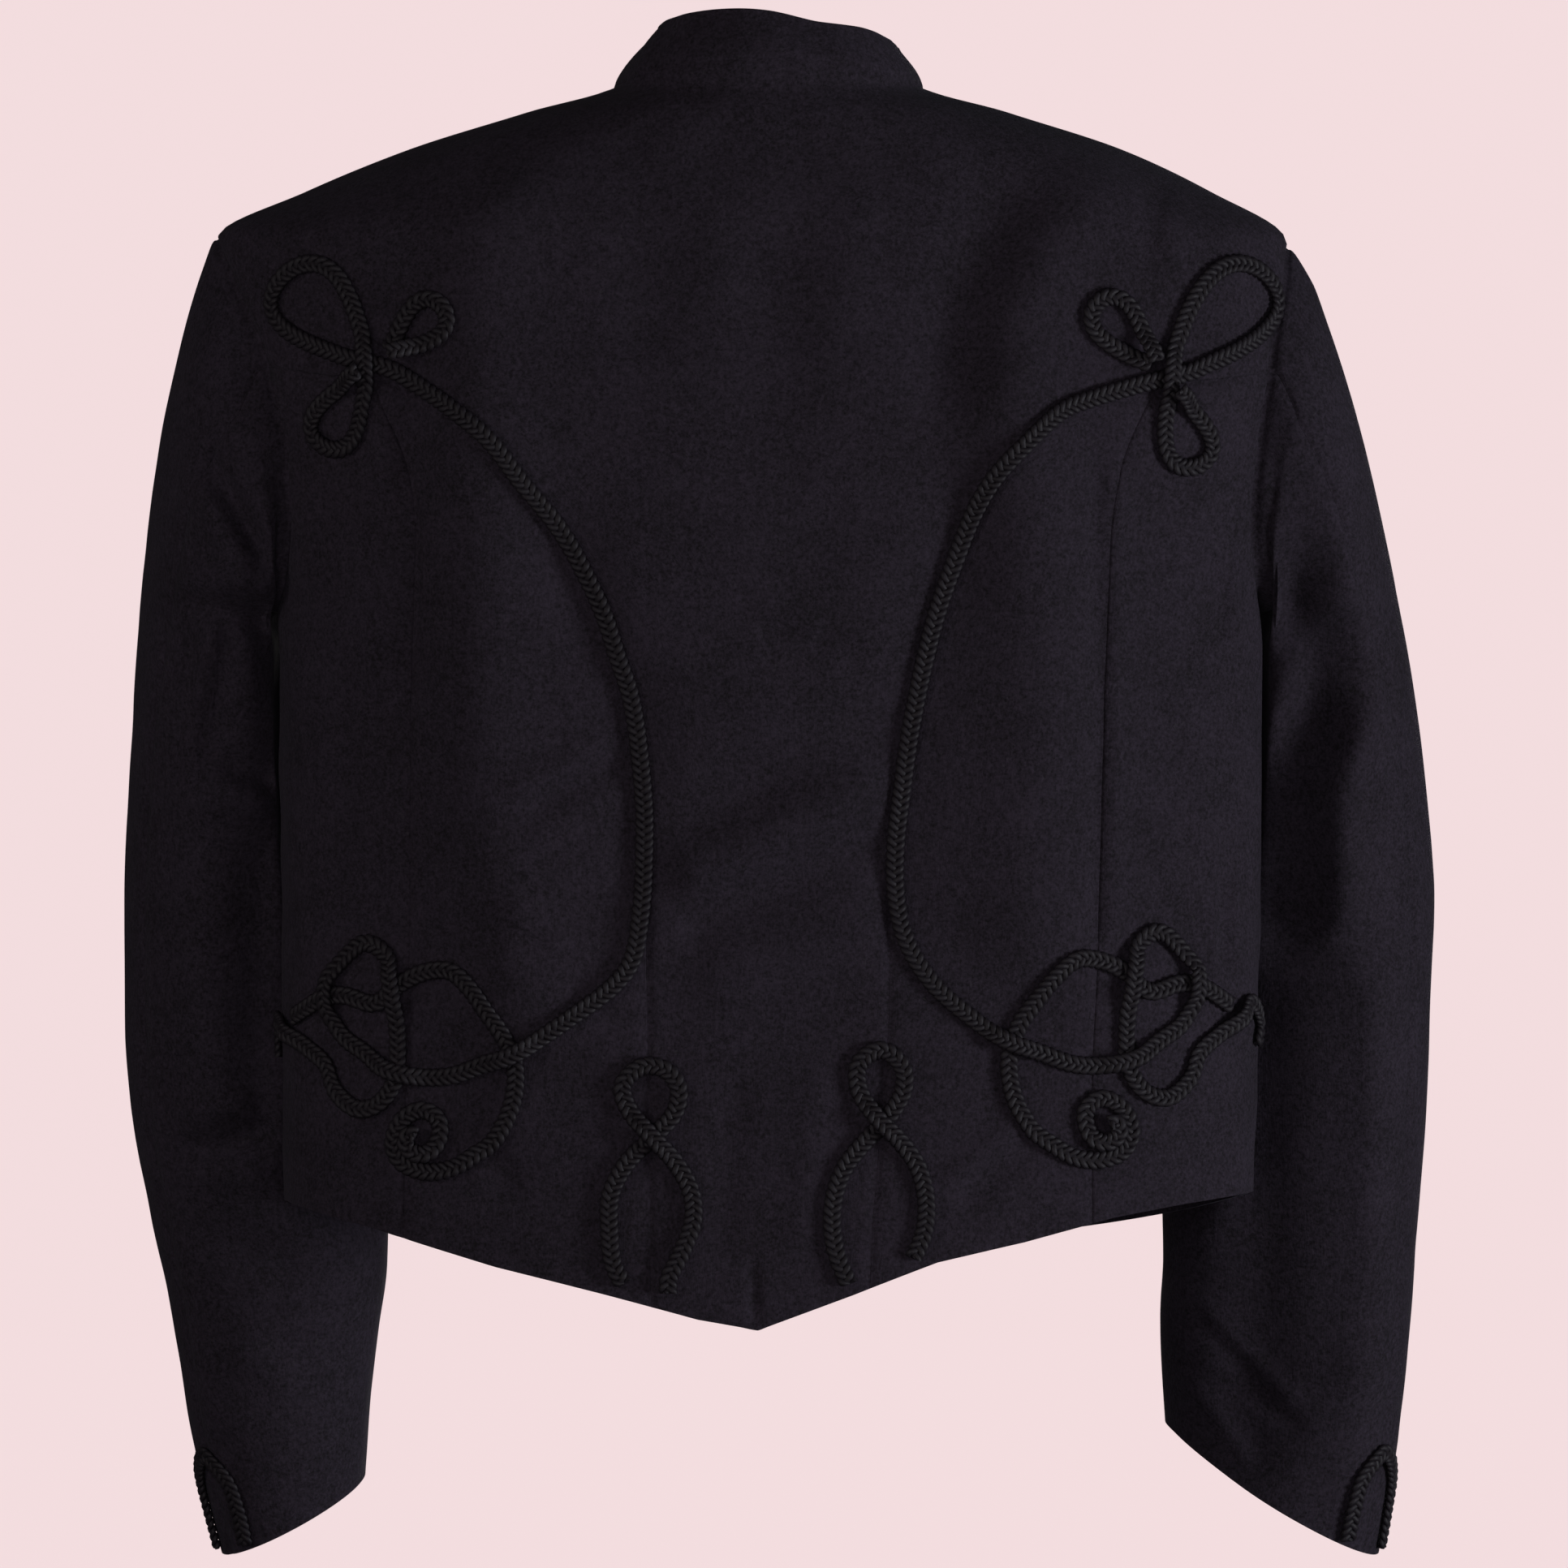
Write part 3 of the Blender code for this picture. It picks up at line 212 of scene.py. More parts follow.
def bodyPoint(angle, z):
    # outer cloth: angle 0 is the middle of the back, a quarter turn is the right side
    angle = np.asarray(angle, float)
    z = np.asarray(z, float)
    s = np.sin(angle)
    c = np.cos(angle)
    left, right, back, front = section(z)
    half = np.where(s >= 0, right, left)
    deep = np.where(c >= 0, back, front)
    full = 1 + clothSizes["cornerFullness"] * (2 * s * c) ** 2
    x = half * s * full
    y = -deep * c * full
    outX = s / half
    outY = -c / deep
    size = np.sqrt(outX ** 2 + outY ** 2)
    fade = c * clothSizes["foldFade"]
    fold = foldHeight(backFolds + backCreases, x, z) * softStep(fade)
    fold = fold + foldHeight(frontCreases, x, z) * softStep(-fade)
    fold = fold + waviness(angle * clothSizes["waveTurn"], z)
    return np.stack([x + outX / size * fold, y + outY / size * fold, z + 0 * x], axis=-1)


def bodyNormal(angle, z):
    turn = 0.004
    rise = 0.6
    across = bodyPoint(angle + turn, z) - bodyPoint(angle - turn, z)
    up = bodyPoint(angle, z + rise) - bodyPoint(angle, z - rise)
    return unit(np.cross(across, up))


def onBody(rows):
    return bodyPoint(rows[:, 0], rows[:, 1]), bodyNormal(rows[:, 0], rows[:, 1])


def turnFor(inverse, share, limit=1.0):
    # the angle at which the rounded section reaches this share of its half width or depth
    angle = inverse(np.clip(share, -limit, limit))
    for _ in range(8):
        full = 1 + clothSizes["cornerFullness"] * np.sin(2 * angle) ** 2
        angle = inverse(np.clip(share / full, -limit, limit))
    return angle


def angleAt(x, z):
    x = np.asarray(x, float)
    left, right = section(z)[:2]
    return turnFor(np.arcsin, x / np.where(x >= 0, right, left), 0.999)


def angleAtDepth(y, z, side):
    back, front = section(z)[2:]
    return side * turnFor(np.arccos, -y / np.where(np.asarray(y) <= 0, back, front))


def hemHeight(angle):
    angle = np.asarray(angle, float)
    s = np.sin(angle)
    c = np.cos(angle)
    rows = np.array(backHem, float)
    side = np.where(s >= 0, rows[-1, 1], rows[0, 1])
    back = np.interp(s * backHemHalf, rows[:, 0], rows[:, 1])
    return np.where(c >= 0, back, side + (frontHemMiddle - side) * c * c)


def evenPoints(line, count):
    line = np.asarray(line, float)
    fine = np.linspace(0, len(line) - 1, 60 * len(line))
    line = columnsAt(fine, np.arange(len(line)), line)
    run = runLength(bodyPoint(line[:, 0], line[:, 1]))
    return columnsAt(np.linspace(0, run[-1], count), run, line)


def rounded(points, count):
    # smooth curve through given points, evenly spaced
    points = np.asarray(points, float)
    ends = np.vstack([2 * points[0] - points[1], points, 2 * points[-1] - points[-2]])
    out = []
    for i in range(1, len(ends) - 2):
        a, b, c, d = ends[i - 1], ends[i], ends[i + 1], ends[i + 2]
        for t in np.linspace(0, 1, 16, endpoint=False):
            out.append(0.5 * (2 * b + (c - a) * t + (2 * a - 5 * b + 4 * c - d) * t * t
                              + (3 * b - a - 3 * c + d) * t ** 3))
    out.append(points[-1])
    out = np.array(out)
    run = runLength(out)
    return columnsAt(np.linspace(0, run[-1], count), run, out)


def onBack(points):
    points = np.asarray(points, float)
    return np.stack([angleAt(points[:, 0], points[:, 1]), points[:, 1]], axis=1)


def seamLines(side):
    tip, low, middle, half = armholes[side]
    turn = np.linspace(0, 2 * math.pi, meshSteps["arm"], endpoint=False)
    z = (tip + low) / 2 + (tip - low) / 2 * np.cos(turn)
    y = middle - half * np.sin(turn)
    arm = np.stack([angleAtDepth(y, z, side), z], axis=1)
    shoulder = evenPoints([(side * math.pi / 2, 0), tuple(arm[0])], meshSteps["shoulder"] + 1)
    start = arm[meshSteps["princessAt"]]
    line = onBack(rounded(princessSeam[side], 80))
    hemAngle = angleAt(*princessHem[side])
    line = np.vstack([line, [(hemAngle, hemHeight(hemAngle))]])
    head = evenPoints(np.vstack([start, line[0]]), meshSteps["head"] + 1)
    rest = evenPoints(line[1:], meshSteps["seam"] + 1)
    secondEnd = angleAt(*secondHem[side])
    second = onBack(rounded([princessSeam[side][0]] + secondSeam[side], 60))
    second = np.vstack([second, [(secondEnd, hemHeight(secondEnd))]])
    second = evenPoints(second, meshSteps["seam"] + 1)
    sideAngle = side * math.radians(sideSeamAngle)
    lowEnd = (sideAngle, float(hemHeight(sideAngle)))
    flank = evenPoints([tuple(arm[meshSteps["sideAt"]]), lowEnd], meshSteps["seam"] + 1)
    return {"arm": arm, "shoulder": shoulder, "head": head,
            "princess": rest, "second": second, "flank": flank}


def neckLine():
    table = np.array(frontNeck, float)
    away = np.sin(np.linspace(0, math.pi / 2, 400)) * table[-1, 0]
    z = follow(table[:, 0], table[:, 1], away)
    turn = turnFor(np.arcsin, away / section(z)[1])
    turn[-1] = math.pi / 2
    places = np.linspace(0, len(frontNeckAngles) - 1, meshSteps["neckFront"])
    want = np.radians(np.interp(places, np.arange(len(frontNeckAngles)), frontNeckAngles))
    z = np.interp(want, turn, z)
    right = np.stack([math.pi - want, z], axis=1)[::-1]
    angle = np.linspace(-math.pi / 2, math.pi / 2, meshSteps["back"] + 1)
    back = np.stack([angle, backNeckRise * np.cos(angle) ** 2], axis=1)
    left = np.stack([-math.pi + want, z], axis=1)
    return left, back, right


def hemRun(first, last, shares):
    angle = first + (last - first) * np.asarray(shares)
    return np.stack([angle, hemHeight(angle)], axis=1)


def lengthShares(rows):
    run = runLength(bodyPoint(rows[:, 0], rows[:, 1]))
    return run / run[-1]


def angleShares(rows):
    return (rows[:, 0] - rows[0, 0]) / (rows[-1, 0] - rows[0, 0])


def fillBetween(left, right, top, bottom, spread):
    # grid between four edges: rows run down, columns run with the angle
    across = (spread(top) + spread(bottom)) / 2
    drops = [(edge[:, 1] - edge[0, 1]) / (edge[-1, 1] - edge[0, 1]) for edge in (left, right)]
    even = (lengthShares(left) + lengthShares(right)) / 2
    down = (0.375 * (drops[0] + drops[1]) + 0.25 * even)[:, None, None]
    s = across[None, :, None]
    grid = (1 - s) * left[:, None] + s * right[:, None] + (1 - down) * top[None] + down * bottom[None]
    corner = (1 - s) * (1 - down) * top[0] + s * (1 - down) * top[-1]
    corner = corner + (1 - s) * down * bottom[0] + s * down * bottom[-1]
    grid = grid - corner
    # away from the edges the rows are evened out, where an edge turns sharply
    even = grid.copy()
    for _ in range(meshSteps["evening"]):
        even[1:-1] = (even[:-2] + 2 * even[1:-1] + even[2:]) / 4
    edgeShare = 0.1
    return grid + (even - grid) * softStep(np.minimum(s, 1 - s) / edgeShare)


def crowdEdges(grid):
    # a few more rows and columns close to the edges, where the seams turn in
    for axis in (0, 1):
        g = np.moveaxis(grid, axis, 0)
        first = [g[0] + (g[1] - g[0]) * t for t in (0.14, 0.38, 0.68)]
        last = [g[-2] + (g[-1] - g[-2]) * t for t in (0.32, 0.62, 0.86)]
        g = np.concatenate([g[:1], first, g[1:-1], last, g[-1:]])
        grid = np.moveaxis(g, 0, axis)
    return grid


def runAlong(grid, axis):
    step = np.linalg.norm(np.diff(grid, axis=axis), axis=-1)
    run = np.cumsum(step, axis=axis)
    pad = [(0, 0), (0, 0)]
    pad[axis] = (1, 0)
    return np.pad(run, pad)


def sinkSeams(grid, normal, sewn):
    # sewn: which of left, right and top is a seam; the cloth sinks there
    across = runAlong(grid, 1)
    down = runAlong(grid, 0)
    far = {"left": across, "right": across[:, -1:] - across, "top": down}
    near = np.full(grid.shape[:2], 1e3)
    for edge in sewn:
        near = np.minimum(near, far[edge])
    sink = clothSizes["grooveDeep"] * np.exp(-(near / clothSizes["grooveHalf"]) ** 2)
    return grid - normal * sink[..., None], across, down


clothFaces = []     # outer faces of every cloth piece, for laying the cord on them
pieces = {}
cordNames = []


def meshPiece(name, points, quads, corners=None):
    mesh = bpy.data.meshes.new(name)
    points = np.asarray(points, float) * mm
    quads = np.asarray(quads, int)
    mesh.vertices.add(len(points))
    mesh.vertices.foreach_set("co", points.ravel())
    mesh.loops.add(quads.size)
    mesh.loops.foreach_set("vertex_index", quads.ravel())
    mesh.polygons.add(len(quads))
    mesh.polygons.foreach_set("loop_start", np.arange(0, quads.size, quads.shape[1]))
    mesh.polygons.foreach_set("use_smooth", np.ones(len(quads), bool))
    mesh.update(calc_edges=True)
    if corners is not None:
        layer = mesh.uv_layers.new(name="clothGrain")
        layer.data.foreach_set("uv", np.asarray(corners, float)[quads.ravel()].ravel() * mm)
    mesh.validate()
    thing = bpy.data.objects.new(name, mesh)
    bpy.context.scene.collection.objects.link(thing)
    pieces[name] = thing
    return thing


def capQuads(ring, order):
    # flat cap over a closed ring with an even count
    count = len(ring)
    rows = [(k, k + 1, count - 2 - k, count - 1 - k) for k in range(count // 2 - 1)]
    return [[ring[k] for k in row[::order]] for row in rows]


def shellPiece(name, outer, inner, across, down):
    # closed thin shell between two grids of the same size
    rows, columns = outer.shape[:2]
    count = rows * columns
    index = np.arange(count).reshape(rows, columns)
    a = index[:-1, :-1].ravel()
    b = index[1:, :-1].ravel()
    c = index[1:, 1:].ravel()
    d = index[:-1, 1:].ravel()
    tops = np.stack([a, b, c, d], axis=1)
    ring = np.concatenate([index[0, :-1], index[:-1, -1], index[-1, :0:-1], index[:0:-1, 0]])
    after = np.roll(ring, -1)
    rim = np.stack([ring, after, after + count, ring + count], axis=1)
    quads = np.concatenate([tops, tops[:, ::-1] + count, rim])
    points = np.concatenate([outer.reshape(-1, 3), inner.reshape(-1, 3)])
    flat = np.stack([across.ravel(), down.ravel()], axis=1)
    meshPiece(name, points, quads, np.concatenate([flat, flat]))
    clothFaces.append((outer.reshape(-1, 3), tops))


def clothPanel(name, left, right, top, bottom, spread, sewn, drop=None):
    grid = crowdEdges(fillBetween(left, right, top, bottom, spread))
    outer = bodyPoint(grid[..., 0], grid[..., 1])
    normal = bodyNormal(grid[..., 0], grid[..., 1])
    if drop is not None:
        outer = outer + normal * drop(outer)[..., None]
    outer, across, down = sinkSeams(outer, normal, sewn)
    shellPiece(name, outer, outer - normal * clothSizes["wall"], across, down)


seams = {1: seamLines(1), -1: seamLines(-1)}
neckLeft, neckBack, neckRight = neckLine()
words = {1: "right", -1: "left"}


def backEdge(lines):
    arm = lines["arm"][1:meshSteps["princessAt"] + 1]
    return np.vstack([lines["shoulder"], arm, lines["head"][1:], lines["princess"]])


def sidePiece(name, side, inner, outer, top, low):
    edges = (inner, outer, top, low) if side > 0 else (outer, inner, top[::-1], low[::-1])
    clothPanel(name + words[side], *edges, lengthShares, ("left", "right", "top"))


leftEdge = backEdge(seams[-1])
rightEdge = backEdge(seams[1])
backLow = hemRun(leftEdge[-1, 0], rightEdge[-1, 0], np.linspace(0, 1, meshSteps["back"] + 1))
clothPanel("back_centre_cloth", leftEdge, rightEdge, neckBack, backLow, angleShares, ("left", "right", "top"))

for side in (1, -1):
    inner = seams[side]["princess"]
    outer = seams[side]["second"]
    narrow = np.linspace(0, 1, meshSteps["sideBack"] + 1)[:, None]
    top = inner[0] + (outer[0] - inner[0]) * narrow
    low = hemRun(inner[-1, 0], outer[-1, 0], narrow[:, 0])
    sidePiece("side_back_cloth_", side, inner, outer, top, low)

for side in (1, -1):
    inner = seams[side]["second"]
    outer = seams[side]["flank"]
    armPart = seams[side]["arm"][meshSteps["princessAt"] + 1:meshSteps["sideAt"] + 1]
    top = np.vstack([seams[side]["head"][::-1], armPart])
    low = hemRun(inner[-1, 0], outer[-1, 0], lengthShares(top))
    sidePiece("side_panel_cloth_", side, inner, outer, top, low)

frontSizes = {"lap": 10.0, "underlap": 15.0, "lapDrop": 2.7, "dropFrom": 40.0, "dropOver": 22.0}


def frontDrop(outer):
    # the right front steps in to pass under the left one
    past = frontSizes["dropFrom"] - outer[..., 0]
    return -frontSizes["lapDrop"] * softStep(past / frontSizes["dropOver"])


for side in (1, -1):
    arm = seams[side]["arm"][::-1][:meshSteps["arm"] - meshSteps["sideAt"]]
    edge = np.vstack([seams[side]["shoulder"], arm, seams[side]["flank"][1:]])
    past = frontSizes["underlap"] if side > 0 else frontSizes["lap"]
    topZ = frontNeck[0][1]
    middleZ = topZ + (frontHemMiddle - topZ) * np.linspace(0, 1, len(edge))
    middle = np.stack([side * (math.pi + np.arcsin(past / section(middleZ)[0])), middleZ], axis=1)
    middle[-1, 1] = hemHeight(middle[-1, 0])
    extra = np.linspace(0, 1, meshSteps["lap"])[:, None]
    step = np.array([side * math.pi, topZ]) * (1 - extra) + middle[0] * extra
    if side > 0:
        top = np.vstack([neckRight[:-1], step])
        low = hemRun(edge[-1, 0], middle[-1, 0], angleShares(top))
        clothPanel("front_cloth_right", edge, middle, top, low, angleShares, ("left", "top"), frontDrop)
    else:
        top = np.vstack([step[::-1], neckLeft[1:]])
        low = hemRun(middle[-1, 0], edge[-1, 0], angleShares(top))
        clothPanel("front_cloth_left", middle, edge, top, low, angleShares, ("right", "top"))
print("body panels made:", len(pieces))

# sleeves from the armhole to the cuff: outer x, z, inner x, z, forward, half depth, drop at the back
sleeveRings = {
    1: [
        (223, -69, 212, -228, 3, 39, 0), (233, -84, 215, -233, 4, 41, 0), (241, -105, 211, -241, 7, 46, 0),
        (250, -133, 206, -255, 14, 53, 0), (258, -163, 200, -274, 23, 58, 0),
        (265.5, -196, 194, -298, 33, 62, 1), (272, -228, 187, -324, 44, 62, 1),
        (278.5, -266, 183, -352, 53, 63, 2), (283.5, -308, 176, -384, 62, 60, 3),
        (286.5, -348, 172, -414, 68, 58, 4), (285, -394, 170, -446, 74, 56, 5),
        (283, -442, 169.5, -476, 79, 54, 6), (279.5, -488, 170, -504, 86, 52, 7),
        (276.5, -530, 168.5, -530, 95, 51, 8), (272, -576, 169.5, -552, 103, 50, 8),
        (263, -630, 171, -574, 111, 49, 9),
    ],
    -1: [
        (235, -65, 210, -228, 3, 39, 0), (241, -78, 213, -233, 4, 41, 0), (247.5, -97, 209, -241, 7, 46, 0),
        (254, -122, 204, -255, 14, 53, 0), (260.5, -152, 198, -274, 23, 58, 0),
        (265.5, -186, 192, -298, 33, 61, 1), (269.5, -224, 185, -324, 44, 61, 1),
        (272.5, -266, 182, -352, 53, 62, 2), (275, -308, 175, -384, 62, 59, 3),
        (276.5, -350, 170, -416, 67.5, 56.5, 4), (276.5, -396, 166, -448, 72.5, 56, 5),
        (274, -436, 163, -478, 77, 54, 6), (266, -482, 163.5, -506, 84, 52, 7),
        (257, -524, 167, -534, 93.5, 50, 7), (248.5, -576, 171, -566, 102, 48, 7),
        (235, -630, 173, -597, 111, 46, 7),
    ],
}
hindSeamTurn = [(0.0, 72), (0.12, 70), (0.3, 52), (0.5, 34), (1.0, 30)]
foreSeamTurn = [(0.0, -90), (0.4, -92), (1.0, -100)]
# spans are a start and a length, in shares of the sleeve unless said
sleeveSizes = {
    "clear": 1.9, "clearSoft": 3.0, "clearSpan": (0.1, 0.15),
    "swing": 20.0, "swingIn": (0.09, 0.2), "swingOut": (0.4, 0.35),
    "flatter": 0.25, "flatterSpan": (0.5, 0.25),
    "headRows": 14, "headShare": 0.075,     # the rounded head meets the first full ring here
    "armSpan": (0, 0.3),                    # the armhole's own shape fades out
    "bodyEnds": -545,                       # lowest height at which the body is in the way
    "bodySpan": (-505, 30),                 # in height, where its push begins to count
    "foldFade": 2.5, "ridgeSpread": 0.15, "hollowSpread": 0.6,
    "waveTurn": 48.0, "waveApart": 300.0, "waveSpan": (0, 0.2),
}
# rounded head: how far each row turns in, then how far it lifts, and its place between seam and first ring
headRows = [(0.2, 0.0), (1.4, 1.7), (2.2, 4.0)]
headPlaces = [0, 0.16, 0.34, 1.0, 1.7]
headLift = {"least": 0.35, "more": 0.65}

# seen from the back, then from the front: the same columns as the body folds
sleeveBackFolds = [
    (253, -135, 250, -208, 20, 9.0), (250, -204, 264, -258, 20, 10.0), (264, -254, 252, -300, 20, 10.0),
    (251, -296, 249, -366, 18, 7.5), (251, -150, 248, -206, 7, 2.5), (248, -206, 264, -257, 7, 3.0),
    (264, -257, 248, -299, 7, 3.0), (248, -299, 246, -364, 7, 2.5), (226, -160, 226, -210, 15, -5.0),
    (226, -200, 220, -376, 20, -12.0), (241, -226, 239, -292, 15, -9.0), (245, -366, 279, -371, 3.2, -2.4),
    (246, -374, 276, -379, 6, 1.6), (262, -376, 261, -560, 14, 6.5), (261, -384, 260, -520, 6, 1.8),
    (212, -372, 204, -600, 24, -10.0), (170, -511, 226, -567, 4.5, 2.2), (178, -522, 230, -580, 5, -2.0),
    (176, -552, 206, -592, 4.5, 1.8), (258, -540, 252, -622, 12, 4.0),
    (-242, -158, -214, -204, 5, -5.5), (-250, -170, -222, -214, 8, 5.5), (-254, -210, -210, -217, 6.5, 5.5),
    (-248, -223, -212, -231, 5.5, -5.5), (-237, -231, -248, -290, 4.5, 4.0),
    (-231, -233, -242, -292, 4, -4.0),
    (-212, -222, -212, -300, 8, -5.0), (-236, -288, -208, -303, 5, -5.5), (-256, -304, -212, -309, 7, 4.0),
    (-246, -306, -241, -446, 12, 4.5), (-216, -318, -216, -440, 12, -6.0),
    (-254, -455, -238, -459, 4.6, -5.5),
    (-238, -459, -212, -446, 5, -5.5), (-252, -444, -220, -436, 6, 4.5), (-254, -469, -214, -466, 8, 4.0),
    (-240, -490, -200, -510, 10, -3.0), (-232, -540, -200, -562, 10, 2.6), (-246, -500, -240, -580, 10, 2.4),
]
sleeveFrontFolds = [
    (250, -170, 228, -280, 14, -4.0), (262, -290, 216, -340, 11, -4.5), (268, -330, 214, -372, 9, 3.0),
    (264, -360, 208, -402, 9, -3.5), (240, -430, 228, -540, 14, 2.5), (-246, -170, -226, -280, 14, -4.0),
    (-258, -290, -212, -344, 11, -4.5), (-262, -330, -208, -374, 9, 3.0), (-260, -362, -204, -404, 9, -3.5),
    (-236, -430, -222, -540, 14, 2.5),
]


def sleeveRing(side, share, turn):
    rows = np.array(sleeveRings[side], float)
    place = np.linspace(0, 1, len(rows))
    ox, oz, ix, iz, forward, deep, drop = [follow(place, rows[:, k], share) for k in range(7)]
    x = (ox + ix) / 2 + (ox - ix) / 2 * np.cos(turn)
    z = (oz + iz) / 2 + (oz - iz) / 2 * np.cos(turn) - drop * np.sin(turn)
    swing = sleeveSizes["swing"] * ramp(share, sleeveSizes["swingIn"])
    swing = swing * (1 - ramp(share, sleeveSizes["swingOut"]))
    flat = 1 - sleeveSizes["flatter"] * ramp(share, sleeveSizes["flatterSpan"])
    bulge = np.sign(np.sin(turn)) * np.abs(np.sin(turn)) ** flat
    y = forward - deep * bulge + swing * (1 - np.cos(turn)) / 2
    return x, y, z


def clearOfBody(side, x, y, z, clear):
    high = np.clip(z, sleeveSizes["bodyEnds"], 0)
    edge = np.abs(bodyPoint(angleAtDepth(y, high, side), high)[..., 0])
    back, front = section(high)[2:]
    near = np.where((y > -back) & (y < front), edge + clear - x, -100)
    push = 0.5 * (near + np.sqrt(near * near + sleeveSizes["clearSoft"] ** 2))
    return x + push * ramp(z, sleeveSizes["bodySpan"])


def throughRows(places, rows, want):
    # smooth rows of points between a few given rows
    rows = np.asarray(rows, float)
    slope = np.gradient(rows, np.asarray(places, float), axis=0)
    out = []
    for q in want:
        k = int(np.clip(np.searchsorted(places, q) - 1, 0, len(places) - 2))
        width = places[k + 1] - places[k]
        t = (q - places[k]) / width
        out.append(easedBetween(t, width, rows[k], slope[k], rows[k + 1], slope[k + 1]))
    return out


def sleeveTube(side):
    arm = seams[side]["arm"]
    steps = len(arm)
    base, normal = onBody(arm)
    along = unit(np.roll(base, -1, axis=0) - np.roll(base, 1, axis=0))
    into = unit(np.cross(normal, along))
    into = into * np.sign(np.sum(into * (base.mean(axis=0) - base), axis=1, keepdims=True))
    turn0 = np.linspace(0, 2 * math.pi, steps, endpoint=False)
    hind0 = turn0[meshSteps["hindAt"]]
    fore0 = turn0[meshSteps["foreAt"]] - 2 * math.pi
    x0, y0, z0 = sleeveRing(side, np.zeros(steps), turn0)
    apart = base - np.stack([x0 * side, y0, z0], axis=1)
    signed = np.where(turn0 <= hind0 + 1e-6, turn0, turn0 - 2 * math.pi)

    def ringAt(share):
        hind = math.radians(np.interp(share, *zip(*hindSeamTurn)))
        fore = math.radians(np.interp(share, *zip(*foreSeamTurn)))
        upper = fore + (hind - fore) * (signed - fore0) / (hind0 - fore0)
        lower = hind + (fore + 2 * math.pi - hind) * (turn0 - hind0) / (fore0 + 2 * math.pi - hind0)
        turn = np.where(signed >= fore0 - 1e-6, upper, lower)
        x, y, z = sleeveRing(side, np.full(steps, share), turn)
        fade = 1 - ramp(share, sleeveSizes["armSpan"])
        x = x + apart[:, 0] * side * fade
        y = y + apart[:, 1] * fade
        z = z + apart[:, 2] * fade
        facing = np.sin(turn) * sleeveSizes["foldFade"]
        fold = foldHeight(sleeveBackFolds, x * side, z) * softStep(facing)
        fold = fold + foldHeight(sleeveFrontFolds, x * side, z) * softStep(-facing)
        wave = waviness(turn0 * sleeveSizes["waveTurn"] + sleeveSizes["waveApart"] * side, z)
        fold = fold + wave * ramp(share, sleeveSizes["waveSpan"])
        spread = np.where(fold > 0, sleeveSizes["ridgeSpread"], sleeveSizes["hollowSpread"])
        x = x + fold * np.cos(turn) * spread
        y = y - fold * np.sin(turn)
        clear = sleeveSizes["clear"] * (0.5 + 0.5 * float(ramp(share, sleeveSizes["clearSpan"])))
        return np.stack([clearOfBody(side, x, y, z, clear) * side, y, z], axis=1)

    first = sleeveSizes["headShare"]
    lifted = normal * (headLift["least"] + headLift["more"] * (1 - np.cos(turn0)) / 2)[:, None]
    given = [base + into * inward + lifted * high for inward, high in headRows]
    given += [ringAt(first), ringAt(first + 0.05)]
    shares = np.linspace(first, 1.0, meshSteps["sleeve"])
    headSteps = np.linspace(0, 1, sleeveSizes["headRows"], endpoint=False) ** 1.6
    grid = np.array(throughRows(headPlaces, given, headSteps) + [ringAt(q) for q in shares])
    closed = np.concatenate([grid[:, -1:], grid, grid[:, :1]], axis=1)
    face = unit(np.cross(np.gradient(grid, axis=0), closed[:, 2:] - closed[:, :-2]))
    flip = np.sign(np.sum(face * (grid - grid.mean(axis=1, keepdims=True)), axis=(1, 2)))
    face = face * flip[:, None, None]
    face[0] = normal
    return grid, face


tubes = {side: sleeveTube(side) for side in (1, -1)}
for side in (1, -1):
    grid, face = tubes[side]
    steps = meshSteps["arm"]
    upper = list(range(meshSteps["foreAt"], steps)) + list(range(0, meshSteps["hindAt"] + 1))
    under = list(range(meshSteps["hindAt"], meshSteps["foreAt"] + 1))
    if side > 0:
        upper = upper[::-1]
        under = under[::-1]
    for word, picks in (("upper", upper), ("under", under)):
        part = crowdEdges(grid[:, picks])
        skin = unit(crowdEdges(face[:, picks]))
        part, across, down = sinkSeams(part, skin, ("left", "right", "top"))
        inside = part - skin * clothSizes["wall"]
        shellPiece("sleeve_%s_cloth_%s" % (word, words[side]), part, inside, across, down)
print("sleeves made")

# stand collar: angle round the neck from the middle of the back, rise, lean inwards
collarTable = [
    (-182, 27, 5), (-140, 27, 10), (-90, 25, 19), (-45, 24, 12), (-15, 22, 9), (0, 20.5, 9),
    (25, 17.5, 9), (50, 19, 9), (70, 18.5, 10), (90, 17.5, 10), (140, 23, 8), (182, 27, 5),
]
collarSizes = {"wall": 3.0, "base": -1.2, "rows": 12, "round": 6, "endPast": 1.2,
               "ripple": 0.5, "rippleTurn": 0.21, "seamDeep": 0.7, "seamShare": 0.1}


